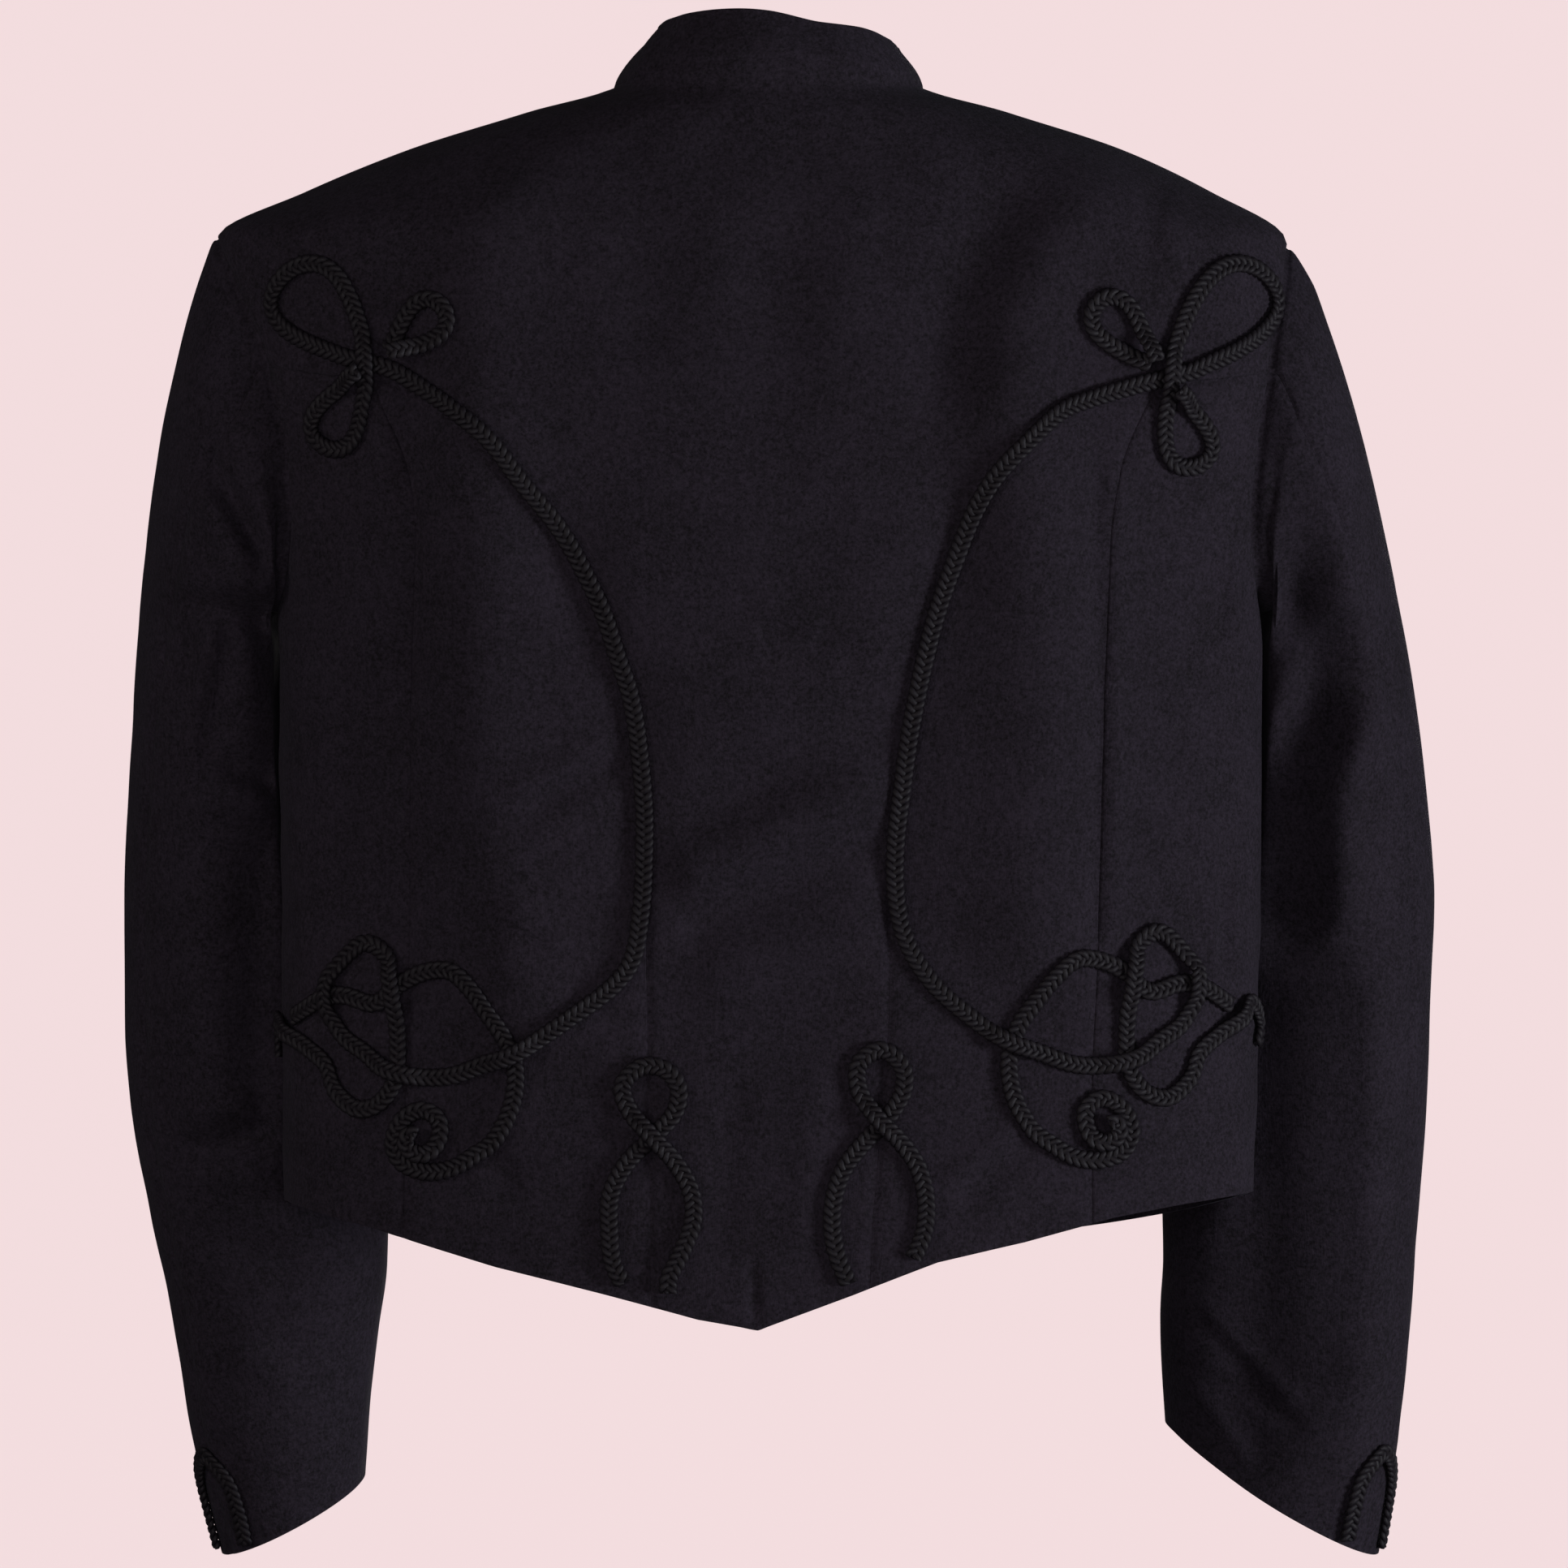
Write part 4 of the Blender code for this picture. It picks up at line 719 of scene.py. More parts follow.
def collarPiece():
    rows = np.vstack([neckLeft[:-1], neckBack[:-1], neckRight])
    base, normal = onBody(rows)
    into = unit(np.cross(normal, unit(np.gradient(base, axis=0))))
    into = into * np.sign(into[:, 2:3] + 1e-9)
    table = np.array(collarTable, float)
    around = np.degrees(np.arctan2(base[:, 0], -base[:, 1]))
    rise = follow(table[:, 0], table[:, 1], around)
    lean = follow(table[:, 0], table[:, 2], around)
    flat = unit(base * np.array([1, 1, 0]))
    up = np.array([0, 0, 1.0])
    wall = collarSizes["wall"]
    rise = rise - wall / 2

    def skinAt(share):
        place = base + into * collarSizes["base"] + up * (rise * share)[:, None]
        ripple = np.sin(around * collarSizes["rippleTurn"] + 3 * share)
        soft = collarSizes["ripple"] * ripple * np.sin(math.pi * share)
        place = place - flat * (lean * share ** 1.3 - soft)[:, None]
        sink = collarSizes["seamDeep"] * np.exp(-(share / collarSizes["seamShare"]) ** 2)
        face = unit(normal * max(0.0, 1 - 3 * share) + flat * (0.8 + 2 * share))
        return place - face * sink, face

    shares = np.linspace(0, 1, collarSizes["rows"]) ** 1.2
    profile = [skinAt(share)[0] for share in shares]
    topPlace, topFace = skinAt(1.0)
    for a in np.linspace(0, math.pi, collarSizes["round"] + 2)[1:-1]:
        centre = topPlace - topFace * wall / 2
        profile.append(centre + topFace * (wall / 2 * math.cos(a)) + up * (wall / 2 * math.sin(a)))
    for share in shares[::-1]:
        place, face = skinAt(share)
        profile.append(place - face * wall)
    profile = np.array(profile)
    profile[:, 0, 0] -= collarSizes["endPast"]
    profile[:, -1, 0] += collarSizes["endPast"]
    rowsCount, columns = profile.shape[:2]
    index = np.arange(rowsCount * columns).reshape(rowsCount, columns)
    below = np.roll(index, -1, axis=0)
    four = (index[:, :-1], index[:, 1:], below[:, 1:], below[:, :-1])
    quads = np.stack([corner.ravel() for corner in four], axis=1)
    caps = capQuads(index[:, 0], 1) + capQuads(index[:, -1], -1)
    corners = np.stack([runAlong(profile, 1).ravel(), runAlong(profile, 0).ravel()], axis=1)
    meshPiece("collar_cloth", profile.reshape(-1, 3), np.vstack([quads, caps]), corners)


collarPiece()
print("collar made")

# sewn cord, x and height from the back; the knot and the arc are for the right side
cordSizes = {
    "width": 8.0, "thick": 3.3, "gap": 0.25, "overGap": 0.3, "step": 1.6,
    "nearBy": 12.5,     # cord closer than this is climbed,
    "nearOver": 6.0,    # over this run
    "sameSpot": 4.5,    # cord closer than this is climbed whatever its direction
    "ownApart": 2.4,    # widths along its own line before a cord minds itself
    "lookFrom": 14.0,   # the cloth is looked for from this height above the smooth body,
    "lookDeep": 17.0,   # this far down
    "noCloth": -0.5,
}
plaitSizes = {"Plait length": 0.0102, "Half width": 0.0027, "Half height": 0.00085, "Strand radius": 0.0014,
              "Flatten": 0.78, "Ring step": 0.0007}
mainCord = {
    1: princessSeam[1][1:11] + [
        (55, -346.5), (59, -367), (71.5, -386.5), (90, -402.5), (102.5, -410.5)],
    -1: [(-163, -122), (-150.5, -128.5), (-134.5, -139)] + princessSeam[-1][4:13] + [
        (-53, -332.5), (-54, -353), (-57.5, -374), (-66, -386.5), (-82, -398.5), (-107, -415)],
}
sideKnot = [
    (116.5, -415), (129, -419.5), (141.5, -420.5), (156, -417.5), (167.5, -409.5), (177, -402),
    (182, -390), (180.5, -376), (169, -363.5), (158.5, -369), (155.5, -380), (153.5, -397),
    (153, -413), (155, -423.5), (162, -432.5), (171.5, -434), (180, -426), (184, -415), (192, -407.5),
    (200, -400), (205.5, -393.5), (209, -401), (208.5, -412),
]
arcCord = [
    (197.5, -395), (186, -387), (176, -385.5), (163, -389), (153, -381), (141.5, -375.5), (130.5, -375),
    (122, -382), (114, -393), (107, -404), (103, -417), (104.5, -432), (111, -446), (121, -454),
    (130.5, -459.5), (141.5, -461), (151.5, -457), (155, -448.5), (151.5, -439), (143, -434.5),
    (136, -439), (135.5, -446), (138.5, -452), (144.5, -453.5), (149, -449.5), (147.5, -445), (144.5, -446),
]
leftKnotShift = (-4.5, -5.0)
knotLoops = {
    1: {"large": (170, -127, 212, -82, 16), "lower": (171.5, -131, 183, -164, 9.5),
        "small": (163.5, -121, 141, -94, 9.0)},
    -1: {"large": (-170, -120, -206, -82, 15.5), "lower": (-170, -124, -190, -155, 10),
         "small": (-161, -115.5, -138, -96, 8.5)},
}
hemLoop = {
    1: [(34.5, -514), (28.5, -497.5), (27.5, -481), (32, -465.5), (41, -453.5), (51, -443), (58, -431),
        (57, -420), (48, -413.5), (39, -420), (39, -431), (46, -442.5), (56.5, -453), (64, -464),
        (67.5, -478), (66.5, -492), (62, -503)],
    -1: [(-61.5, -514), (-66, -505), (-67.5, -491), (-67, -475.5), (-60, -462), (-49, -451), (-40, -441),
         (-38, -430), (-44, -422), (-54, -421), (-62, -429), (-59, -440), (-49, -451.5), (-39.5, -462),
         (-33, -474), (-32, -487), (-37, -501), (-42, -511), (-42.5, -518)],
}
cuffArch = [(-14, 3), (-14.5, 18), (-12, 34), (0, 45), (12, 34), (14.5, 18), (14, 3)]


def clothTree():
    points = []
    faces = []
    for flat, tops in clothFaces:
        start = len(points)
        points += [tuple(p) for p in flat]
        faces += [tuple(int(start + k) for k in face) for face in tops]
    return BVHTree.FromPolygons(points, faces)


def layHeight(tree, place, normal):
    high = cordSizes["lookFrom"]
    hit = tree.ray_cast(Vector(place + normal * high), Vector(-normal), cordSizes["lookDeep"])
    return cordSizes["noCloth"] if hit[0] is None else high - hit[3]


def evened(values):
    return np.convolve(np.pad(values, 2, mode="edge"), np.ones(5) / 5, mode="valid")


def cordPath(places, normals, tree, laid):
    # the middle line of a cord on the cloth, its sideways and upward ways, lifted where it crosses cord
    run = runLength(places)
    marks = np.linspace(0, run[-1], int(run[-1] / cordSizes["step"]) + 1)
    spots = columnsAt(marks, run, places)
    ups = unit(columnsAt(marks, run, normals))
    width = cordSizes["width"]
    rise = cordSizes["thick"] + cordSizes["overGap"]
    forward = unit(np.gradient(spots, axis=0))
    sideways = unit(np.cross(ups, forward))
    lifts = np.zeros(len(marks))

    def rising(i, old, ways, heights):
        # crossing cord lifts fully, cord lying beside hardly
        far = np.linalg.norm(old - spots[i], axis=1)
        crossing = np.linalg.norm(np.cross(ways, forward[i]), axis=1)
        close = softStep((cordSizes["nearBy"] - far) / cordSizes["nearOver"])
        same = softStep((cordSizes["sameSpot"] - far) / 2)
        share = close * np.maximum(softStep(crossing * 1.6 - 0.2), same)
        return float(np.max(share * (heights + rise)))

    for i in range(len(marks)):
        if laid:
            old, ways, heights = [np.array(rows) for rows in zip(*laid)]
            lifts[i] = max(lifts[i], rising(i, old, ways, heights))
        own = marks[i] - marks[:i] > cordSizes["ownApart"] * width
        if own.any():
            lifts[i] = max(lifts[i], rising(i, spots[:i][own], forward[:i][own], lifts[:i][own]))
    lifts = evened(lifts)
    ground = np.zeros(len(marks))
    for i in range(len(marks)):
        under = [spots[i] + sideways[i] * width * u for u in (-0.3, 0.0, 0.3)]
        ground[i] = max(layHeight(tree, spot, ups[i]) for spot in under)
    ground = evened(ground)
    laid += [(spots[i], forward[i], lifts[i]) for i in range(len(marks))]
    lay = ground + cordSizes["gap"] + cordSizes["thick"] / 2 + lifts
    return spots + ups * lay[:, None], sideways, ups


def loopPoints(row):
    # balloon-shaped loop that leaves its start, rounds the far end and comes back
    x0, z0, x1, z1, half = row
    t = np.linspace(0.05, 0.95, 15)
    out = np.sin(math.pi * t) ** 2
    wide = np.sin(2 * math.pi * t) - 0.35 * np.sin(4 * math.pi * t)
    length = math.hypot(x1 - x0, z1 - z0)
    sideX = -(z1 - z0) / length
    sideZ = (x1 - x0) / length
    x = x0 + (x1 - x0) * out + sideX * half * wide / 1.16
    z = z0 + (z1 - z0) * out + sideZ * half * wide / 1.16
    return list(zip(x, z))


class NodeMaker:
    # one method for any node: type, settings, then values or links of its sockets
    def __init__(self, tree):
        self.tree = tree

    def node(self, kind, settings=None, **sockets):
        made = self.tree.nodes.new(kind)
        for key, value in (settings or {}).items():
            setattr(made, key, value)
        return self.feed(made, **sockets)

    def feed(self, made, **sockets):
        # a key is a socket's name, or "at" and its place
        for key, value in sockets.items():
            byPlace = key.startswith("at") and key[2:].isdigit()
            socket = made.inputs[int(key[2:]) if byPlace else key.replace("_", " ")]
            if isinstance(value, Wire):
                value = value.socket
            if isinstance(value, bpy.types.NodeSocket):
                self.tree.links.new(value, socket)
            else:
                socket.default_value = value
        return made

    def wire(self, socket):
        return Wire(self, socket)

    def maths(self, operation, one, two=None):
        sockets = {"at0": one} if two is None else {"at0": one, "at1": two}
        return Wire(self, self.node("ShaderNodeMath", {"operation": operation}, **sockets).outputs[0])

    def vector(self, operation, one, two):
        sockets = {"at0": one, "Scale" if operation == "SCALE" else "at1": two}
        return Wire(self, self.node("ShaderNodeVectorMath", {"operation": operation}, **sockets).outputs[0])


class Wire:
    # a socket with value arithmetic
    def __init__(self, maker, socket):
        self.maker = maker
        self.socket = socket

    def __add__(self, other):
        return self.maker.maths("ADD", self, other)

    def __radd__(self, other):
        return self.maker.maths("ADD", other, self)

    def __sub__(self, other):
        return self.maker.maths("SUBTRACT", self, other)

    def __mul__(self, other):
        return self.maker.maths("MULTIPLY", self, other)

    def __truediv__(self, other):
        return self.maker.maths("DIVIDE", self, other)


def plaitTree(material):
    # three strands plaited along a straight line, then laid along the cord's path
    tree = bpy.data.node_groups.new("plaitedCord", "GeometryNodeTree")
    tree.interface.new_socket("Geometry", in_out="INPUT", socket_type="NodeSocketGeometry")
    for name in plaitSizes:
        tree.interface.new_socket(name, in_out="INPUT", socket_type="NodeSocketFloat")
    tree.interface.new_socket("Geometry", in_out="OUTPUT", socket_type="NodeSocketGeometry")
    make = NodeMaker(tree)
    given = make.node("NodeGroupInput")
    size = {name: make.wire(given.outputs[name]) for name in plaitSizes}
    path = make.node("GeometryNodeMeshToCurve", Mesh=given.outputs["Geometry"]).outputs["Curve"]
    length = make.wire(make.node("GeometryNodeCurveLength", Curve=path).outputs["Length"])
    endPoint = make.node("ShaderNodeCombineXYZ", X=length).outputs["Vector"]
    line = make.node("GeometryNodeCurvePrimitiveLine", End=endPoint).outputs["Curve"]
    count = length / size["Ring step"]
    line = make.node("GeometryNodeResampleCurve", Curve=line, Count=count).outputs["Curve"]
    place = make.node("GeometryNodeInputPosition").outputs["Position"]
    along = make.wire(make.node("ShaderNodeSeparateXYZ", Vector=place).outputs["X"])
    ring = make.node("GeometryNodeCurvePrimitiveCircle", Radius=size["Strand radius"], Resolution=8)
    joined = make.node("GeometryNodeJoinGeometry")
    for strand in range(3):
        phase = along * (2 * math.pi) / size["Plait length"] + strand * 2 * math.pi / 3
        aside = make.maths("SINE", phase) * size["Half width"]
        high = make.maths("SINE", phase * 2) * size["Half height"]
        offset = make.node("ShaderNodeCombineXYZ", Y=aside, Z=high).outputs["Vector"]
        moved = make.node("GeometryNodeSetPosition", Geometry=line, Offset=offset).outputs["Geometry"]
        tube = make.node("GeometryNodeCurveToMesh", Curve=moved, at1=ring.outputs["Curve"], Fill_Caps=True)
        make.feed(joined, Geometry=tube.outputs["Mesh"])
    here = make.node("ShaderNodeSeparateXYZ", Vector=place)
    reach = make.wire(here.outputs["X"])

    def onPath(attribute):
        named = make.node("GeometryNodeInputNamedAttribute", {"data_type": "FLOAT_VECTOR"}, Name=attribute)
        settings = {"mode": "LENGTH", "data_type": "FLOAT_VECTOR"}
        value = named.outputs["Attribute"]
        return make.node("GeometryNodeSampleCurve", settings, Curves=path, Length=reach, Value=value)

    sideSample = onPath("sideWay")
    upSample = onPath("upWay")
    high = make.wire(here.outputs["Z"]) * size["Flatten"]
    aside = make.vector("SCALE", make.wire(sideSample.outputs["Value"]), make.wire(here.outputs["Y"]))
    lift = make.vector("SCALE", make.wire(upSample.outputs["Value"]), high)
    laid = make.vector("ADD", make.vector("ADD", make.wire(sideSample.outputs["Position"]), aside), lift)
    bent = make.node("GeometryNodeSetPosition", Geometry=joined.outputs["Geometry"], Position=laid)
    smooth = make.node("GeometryNodeSetShadeSmooth", at0=bent.outputs["Geometry"])
    real = make.node("GeometryNodeRealizeInstances", Geometry=smooth.outputs[0])
    dressed = make.node("GeometryNodeSetMaterial", Geometry=real.outputs["Geometry"], Material=material)
    make.node("NodeGroupOutput", Geometry=dressed.outputs["Geometry"])
    return tree


def plaitedCord(name, path, tree):
    spots, sideways, ups = path
    mesh = bpy.data.meshes.new(name + "_path")
    mesh.from_pydata([tuple(p * mm) for p in spots], [(i, i + 1) for i in range(len(spots) - 1)], [])
    for attribute, rows in (("sideWay", sideways), ("upWay", ups)):
        mesh.attributes.new(attribute, "FLOAT_VECTOR", "POINT").data.foreach_set("vector", rows.ravel())
    thing = bpy.data.objects.new(name, mesh)
    bpy.context.scene.collection.objects.link(thing)
    modifier = thing.modifiers.new("plait", "NODES")
    modifier.node_group = tree
    for item in tree.interface.items_tree:
        if item.in_out == "INPUT" and item.name in plaitSizes:
            modifier[item.identifier] = plaitSizes[item.name]
    ready = thing.evaluated_get(bpy.context.evaluated_depsgraph_get())
    done = bpy.data.meshes.new_from_object(ready)
    thing.modifiers.remove(modifier)
    thing.data = done
    bpy.data.meshes.remove(mesh)
    done.name = name
    for attribute in ("sideWay", "upWay"):
        if attribute in done.attributes:
            done.attributes.remove(done.attributes[attribute])
    pieces[name] = thing
    cordNames.append(name)


def shaderMaterial(name):
    material = bpy.data.materials.new(name)
    material.use_nodes = True
    shader = material.node_tree.nodes["Principled BSDF"]
    return material, shader, NodeMaker(material.node_tree)


def mixColour(make, share, one, two):
    one, two = [(*value, 1) if isinstance(value, tuple) else value for value in (one, two)]
    return make.node("ShaderNodeMix", {"data_type": "RGBA"}, Factor=share, at6=one, at7=two).outputs[2]


def noise(make, where, scale, detail=3.0, rough=0.55):
    made = make.node("ShaderNodeTexNoise", Vector=where, Scale=scale, Detail=detail, Roughness=rough)
    return make.wire(made.outputs[0])


woolLook = {"deep": (0.0046, 0.0034, 0.0049), "worn": (0.0180, 0.0139, 0.0207), "lint": (0.030, 0.028, 0.031),
            "sheen": 0.015, "sheenRough": 0.5, "sheenTint": (0.72, 0.70, 0.86, 1), "shine": 0.10,
            "fibreScale": 760.0, "napScale": 340.0, "mottleScale": 30.0,
            "lintScale": 420.0, "lintFrom": 0.745,
            "twillTurn": 58.0, "twillScale": (1500, 260, 1), "bumpHigh": 0.0005}


def woolMaterial():
    material, shader, make = shaderMaterial("fulledBlackWool")
    where = make.node("ShaderNodeTexCoord").outputs["Object"]
    grain = make.node("ShaderNodeTexCoord").outputs["UV"]
    mottle = noise(make, where, woolLook["mottleScale"], 5.0, 0.6)
    nap = noise(make, where, woolLook["napScale"], 4.0, 0.6)
    fibre = noise(make, where, woolLook["fibreScale"], 3.0, 0.65)
    turn = (0, 0, math.radians(woolLook["twillTurn"]))
    turned = make.node("ShaderNodeMapping", Vector=grain, Rotation=turn, Scale=woolLook["twillScale"])
    twill = noise(make, turned.outputs["Vector"], 1.0, 2.0, 0.5)
    tone = mottle * 0.8 + nap * 1.4 + fibre * 2.4 - 1.8
    colour = mixColour(make, tone, woolLook["deep"], woolLook["worn"])
    fleck = noise(make, where, woolLook["lintScale"], 1.0, 0.4)
    lint = make.maths("GREATER_THAN", fleck, woolLook["lintFrom"]) * 0.2
    colour = mixColour(make, lint, colour, woolLook["lint"])
    rough = 0.80 + nap * 0.15 + mottle * 0.06
    height = fibre * 0.6 + nap * 0.8 + twill * 0.5
    bump = make.node("ShaderNodeBump", Strength=0.7, Distance=woolLook["bumpHigh"], Height=height)
    make.feed(shader, Base_Color=colour, Roughness=rough, Normal=bump.outputs["Normal"])
    make.feed(shader, Specular_IOR_Level=woolLook["shine"], Sheen_Weight=woolLook["sheen"],
              Sheen_Roughness=woolLook["sheenRough"], Sheen_Tint=woolLook["sheenTint"])
    return material


cordLook = {"deep": (0.0036, 0.0027, 0.0037), "worn": (0.0098, 0.0077, 0.0104), "rough": 0.5, "shine": 0.14,
            "yarnScale": 1400.0, "wearScale": 90.0, "bumpHigh": 0.0002}


def cordMaterial():
    material, shader, make = shaderMaterial("plaitedBlackCord")
    where = make.node("ShaderNodeTexCoord").outputs["Object"]
    yarn = noise(make, where, cordLook["yarnScale"], 2.0, 0.5)
    wear = noise(make, where, cordLook["wearScale"], 4.0, 0.6)
    colour = mixColour(make, yarn * 0.6 + wear * 0.5 - 0.05, cordLook["deep"], cordLook["worn"])
    rough = cordLook["rough"] + wear * 0.2
    bump = make.node("ShaderNodeBump", Strength=0.5, Distance=cordLook["bumpHigh"], Height=yarn)
    make.feed(shader, Base_Color=colour, Roughness=rough, Normal=bump.outputs["Normal"])
    make.feed(shader, Specular_IOR_Level=cordLook["shine"])
    return material


buttonLook = {"deep": (0.0048, 0.0041, 0.0050), "worn": (0.0160, 0.0138, 0.0168), "rough": 0.5,
              "weaveScale": 1100.0, "wearScale": 300.0, "bumpHigh": 0.0002}


def buttonMaterial():
    material, shader, make = shaderMaterial("coveredButtonCloth")
    where = make.node("ShaderNodeTexCoord").outputs["Object"]
    weave = noise(make, where, buttonLook["weaveScale"], 2.0, 0.5)
    wear = noise(make, where, buttonLook["wearScale"], 3.0, 0.6)
    colour = mixColour(make, weave * 0.5 + wear * 0.4, buttonLook["deep"], buttonLook["worn"])
    rough = buttonLook["rough"] + wear * 0.25
    bump = make.node("ShaderNodeBump", Strength=0.4, Distance=buttonLook["bumpHigh"], Height=weave)
    make.feed(shader, Base_Color=colour, Roughness=rough, Normal=bump.outputs["Normal"])
    return material


wool = woolMaterial()
cord = cordMaterial()
buttonCloth = buttonMaterial()

plait = plaitTree(cord)
clothNow = clothTree()


def backCord(name, route, laid):
    flat = onBack(rounded(route, 900))
    plaitedCord(name, cordPath(*onBody(flat), clothNow, laid), plait)


for side in (1, -1):
    laid = []
    move = (0.0, 0.0) if side > 0 else leftKnotShift
    arc = [(side * x + move[0], z + move[1]) for x, z in arcCord]
    backCord("cord_arc_plait_" + words[side], arc, laid)
    knot = [(side * x + move[0], z + move[1]) for x, z in sideKnot]
    large = loopPoints(knotLoops[side]["large"])
    lower = loopPoints(knotLoops[side]["lower"])
    if large[0][1] > large[-1][1]:
        large = large[::-1]
    if lower[0][0] * side > lower[-1][0] * side:
        lower = lower[::-1]
    route = knot[::-1] + mainCord[side][::-1] + large[1:-1] + lower[1:]
    backCord("cord_main_plait_" + words[side], route, laid)
    backCord("cord_loop_plait_" + words[side], loopPoints(knotLoops[side]["small"]), laid)
    backCord("cord_hem_plait_" + words[side], hemLoop[side], laid)


def cuffCord(side):
    grid, face = tubes[side]
    hindAt = meshSteps["hindAt"]
    hind = grid[:, hindAt]
    run = runLength(hind[::-1])
    reachEach = 20
    order = [(hindAt + k) % meshSteps["arm"] for k in range(-reachEach, reachEach + 1)]
    places = []
    normals = []
    for across, high in rounded(cuffArch, 160):
        row = len(grid) - 1 - np.interp(high, run, np.arange(len(run)))
        low = min(int(row), len(grid) - 2)
        part = row - low
        line = (grid[low] * (1 - part) + grid[low + 1] * part)[order]
        skin = (face[low] * (1 - part) + face[low + 1] * part)[order]
        reach = runLength(line)
        want = reach[reachEach] + across
        places.append(columnsAt(want, reach, line))
        normals.append(columnsAt(want, reach, skin))
    path = cordPath(np.array(places), unit(np.array(normals)), clothNow, [])
    plaitedCord("cord_cuff_plait_" + words[side], path, plait)


for side in (1, -1):
    cuffCord(side)
print("cords plaited:", len(cordNames))

buttonSizes = {"radius": 7.0, "heights": (-78, -140, -202, -264, -326, -388, -450), "steps": 40}
buttonProfile = [(0.0, 0.7), (0.72, 0.7), (0.93, 0.95), (1.0, 1.55), (0.97, 2.2), (0.86, 3.2), (0.7, 3.95),
                 (0.5, 4.5), (0.26, 4.95), (0.0, 5.1)]


def buttonPiece(name, z):
    place = bodyPoint(math.pi, z)
    normal = bodyNormal(math.pi, z)
    across = np.array([1.0, 0.0, 0.0])
    up = unit(np.cross(normal, across))
    steps = buttonSizes["steps"]
    turn = np.linspace(0, 2 * math.pi, steps, endpoint=False)
    ring = np.cos(turn)[:, None] * across + np.sin(turn)[:, None] * up
    points = []
    for share, high in buttonProfile:
        points.append(place + ring * buttonSizes["radius"] * max(share, 0.004) + normal * high)
    index = np.arange(len(buttonProfile) * steps).reshape(len(buttonProfile), steps)
    after = np.roll(index, -1, axis=1)
    quads = np.stack([index[:-1].ravel(), after[:-1].ravel(), after[1:].ravel(), index[1:].ravel()], axis=1)
    quads = np.vstack([quads, capQuads(index[0], -1), capQuads(index[-1], 1)])
    meshPiece(name, np.concatenate(points), quads)


for number, height in enumerate(buttonSizes["heights"]):
    buttonPiece("button_%d_dome" % (number + 1), height)

# what each piece stands for, and the cut of the cloth pieces: width, length, flat area in metres
clothCuts = {
    "back_centre": (0.40, 0.55, 0.124), "side_back": (0.12, 0.42, 0.034), "side_panel": (0.15, 0.33, 0.039),
    "front": (0.29, 0.52, 0.114), "collar": (0.43, 0.03, 0.0114),
    "sleeve_upper": (0.18, 0.57, 0.070), "sleeve_under": (0.21, 0.53, 0.087),
}
hangsFrom = {
    "back_centre": "collar", "side_back": "back_centre", "side_panel": "back_centre",
    "front": "collar", "collar": "back_centre", "sleeve_upper": "back_centre",
    "sleeve_under": "sleeve_upper",
}

triangles = 0
for name, thing in pieces.items():
    triangles += sum(len(p.vertices) - 2 for p in thing.data.polygons)
    node = name.replace("_cloth", "").replace("_plait", "").replace("_dome", "")
    kind = node.replace("_right", "").replace("_left", "")
    if name.endswith("_dome"):
        thing.data.materials.append(buttonCloth)
    elif name in cordNames:
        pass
    else:
        thing.data.materials.append(wool)
    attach(thing, "root")
    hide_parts(node)
    if kind in clothCuts:
        ending = node[len(kind):]
        holder = hangsFrom[kind] + (ending if hangsFrom[kind] == "sleeve_upper" else "")
print("pieces:", len(pieces), "triangles:", triangles)

# pale floor and backdrop, soft lights, camera straight at the back as in the photograph
stageLook = {"pale": (0.887, 0.716, 0.730), "glow": 1.0, "floorZ": -1.25, "wallY": 90.0, "half": 30.0,
             "wallTop": 30.0, "bend": 0.6, "paper": (0.12, 0.115), "rough": 0.95}


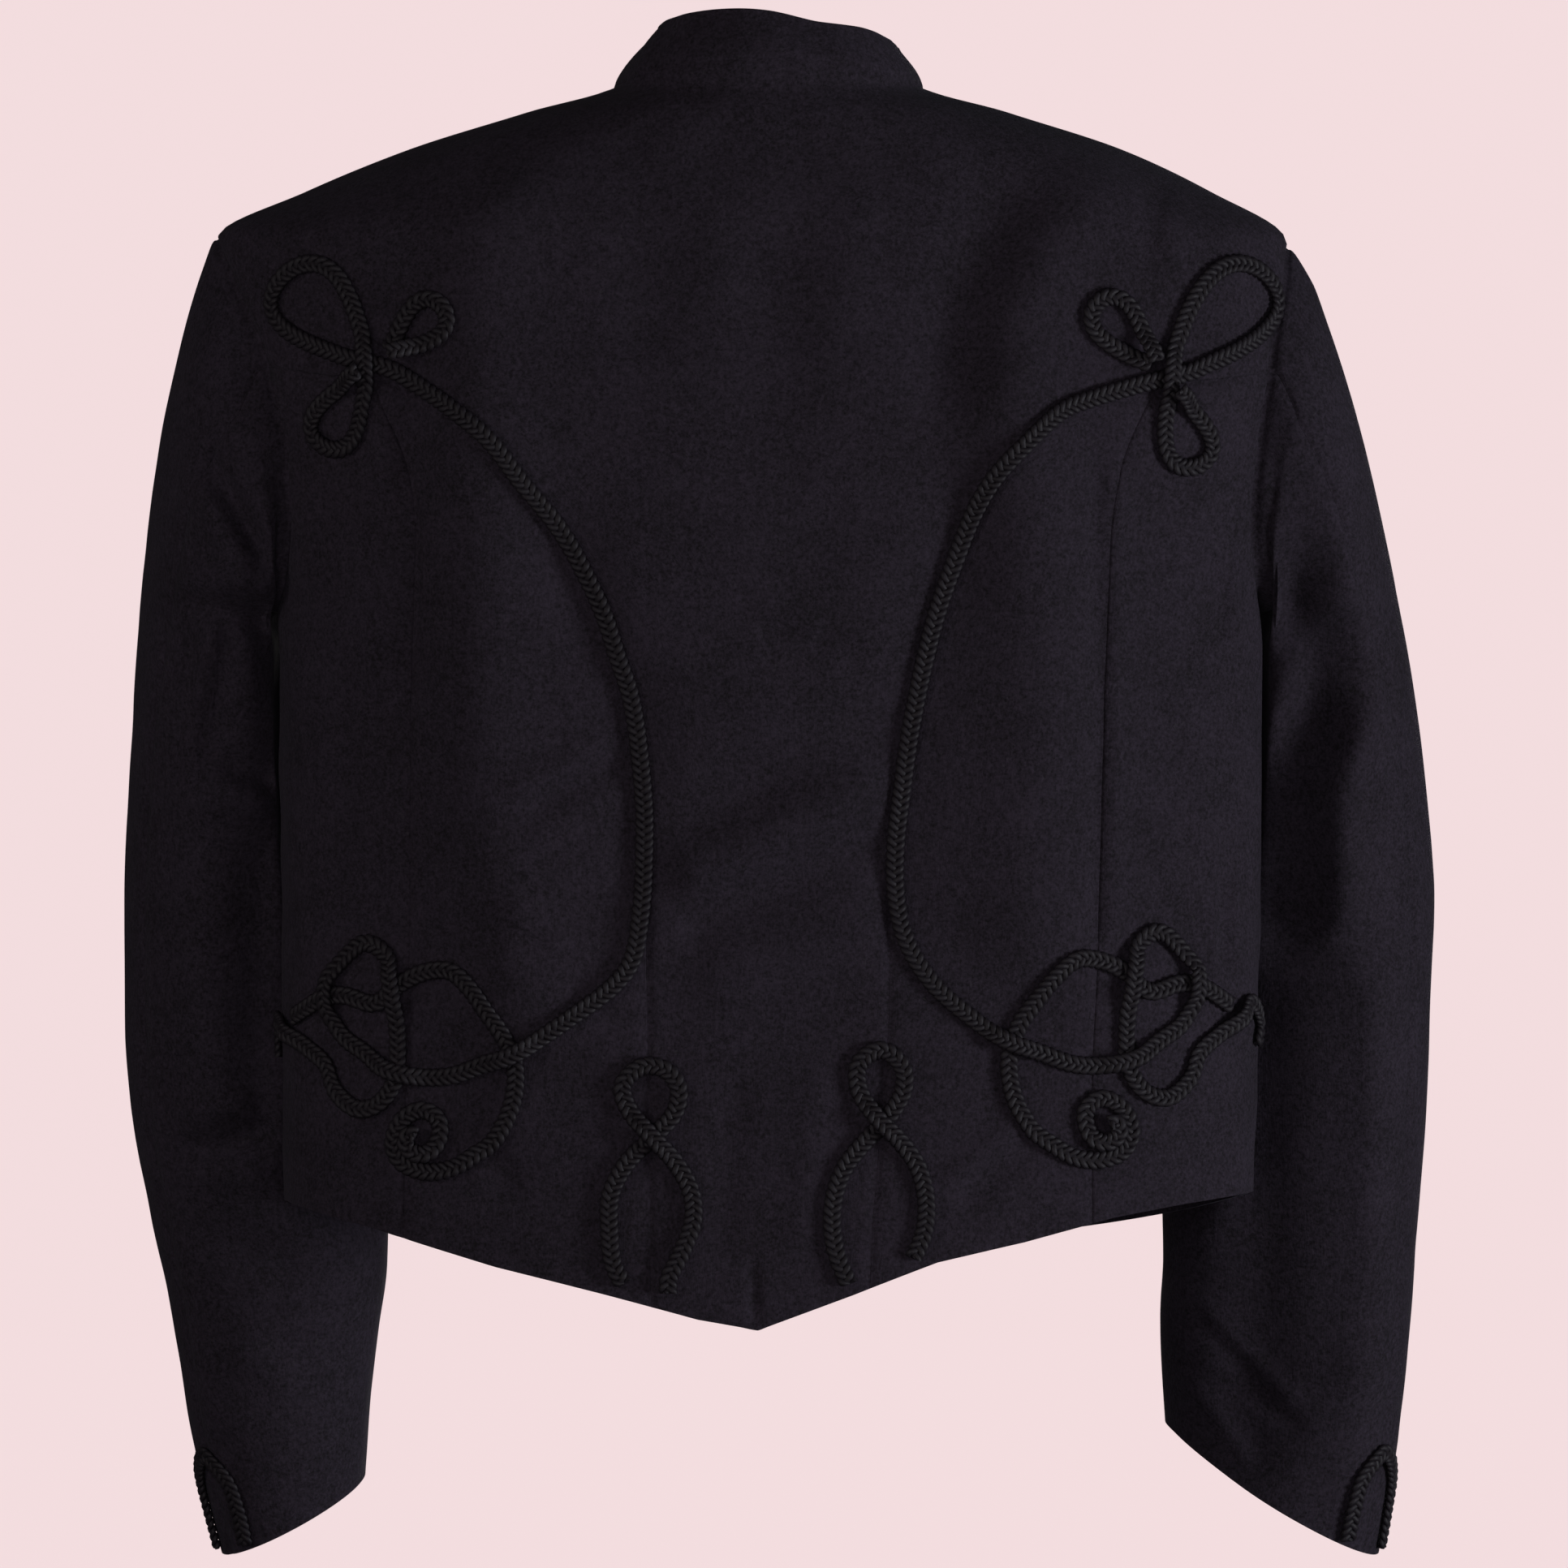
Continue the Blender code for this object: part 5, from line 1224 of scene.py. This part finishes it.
def stageSheet():
    half = stageLook["half"]
    low = stageLook["floorZ"]
    wall = stageLook["wallY"]
    turn = np.linspace(0, math.pi / 2, 13)
    bend = stageLook["bend"]
    line = [(-half, low)]
    line += [(wall - bend + bend * math.sin(a), low + bend - bend * math.cos(a)) for a in turn]
    line.append((wall, stageLook["wallTop"]))
    points = []
    for y, z in line:
        points += [(-half / mm, y / mm, z / mm), (half / mm, y / mm, z / mm)]
    quads = [[2 * k, 2 * k + 1, 2 * k + 3, 2 * k + 2] for k in range(len(line) - 1)]
    thing = meshPiece("studio_sweep", points, quads)
    del pieces["studio_sweep"]
    material, shader, make = shaderMaterial("paleStudioPaper")
    where = make.node("ShaderNodeTexCoord").outputs["Object"]
    soft = noise(make, where, 3.0, 2.0, 0.5)
    pale = stageLook["pale"]
    papers = [tuple(v * share for v in pale) for share in stageLook["paper"]]
    make.feed(shader, Base_Color=mixColour(make, soft * 0.3, *papers), Roughness=stageLook["rough"])
    make.feed(shader, Emission_Color=(*pale, 1), Emission_Strength=stageLook["glow"])
    thing.data.materials.append(material)
    thing.visible_diffuse = False
    thing.visible_glossy = False


stageSheet()


def softLight(name, place, aim, size, power, colour):
    data = bpy.data.lights.new(name, "AREA")
    data.shape = "RECTANGLE"
    data.size = size
    data.size_y = size
    data.energy = power
    data.color = colour
    thing = bpy.data.objects.new(name, data)
    thing.location = place
    thing.rotation_euler = (Vector(aim) - Vector(place)).to_track_quat("-Z", "Y").to_euler()
    bpy.context.scene.collection.objects.link(thing)


# place, size, power and colour, all aimed at the middle of the jacket
lightAim = (0.0, 0.0, -0.3)
lightRows = {
    "keyLight": ((3.1, -1.3, -0.6), 0.9, 114, (0.92, 0.94, 1.0)),
    "fillLight": ((-0.4, -4.0, -0.9), 2.4, 82, (1.0, 0.95, 0.95)),
    "leftLight": ((-2.8, -1.9, 0.5), 1.0, 26, (1.0, 0.92, 0.92)),
    "frontLight": ((0.4, 4.0, -0.6), 2.0, 26, (1.0, 0.95, 0.95)),
}
for name, (place, size, power, colour) in lightRows.items():
    softLight(name, place, lightAim, size, power, colour)
airLook = {"colour": (0.95, 0.9, 0.92, 1), "strength": 0.06}
world = bpy.context.scene.world or bpy.data.worlds.new("studioAir")
bpy.context.scene.world = world
world.use_nodes = True
airNode = world.node_tree.nodes.get("Background")
airNode.inputs["Color"].default_value = airLook["colour"]
airNode.inputs["Strength"].default_value = airLook["strength"]
bpy.context.scene.view_settings.view_transform = "Standard"

cameraSizes = {"far": 30.0, "wide": 0.6723, "middle": (0.007, -0.300), "sensor": 36.0, "clip": 200.0}
cameraData = bpy.data.cameras.new("photoCamera")
camera = bpy.data.objects.new("photoCamera", cameraData)
camera.location = (cameraSizes["middle"][0], -cameraSizes["far"], cameraSizes["middle"][1])
camera.rotation_euler = (math.pi / 2, 0, 0)
cameraData.sensor_width = cameraSizes["sensor"]
cameraData.lens = cameraSizes["sensor"] * cameraSizes["far"] / cameraSizes["wide"]
cameraData.clip_end = cameraSizes["clip"]
bpy.context.scene.collection.objects.link(camera)
bpy.context.scene.camera = camera
print("stage, lights and camera set")
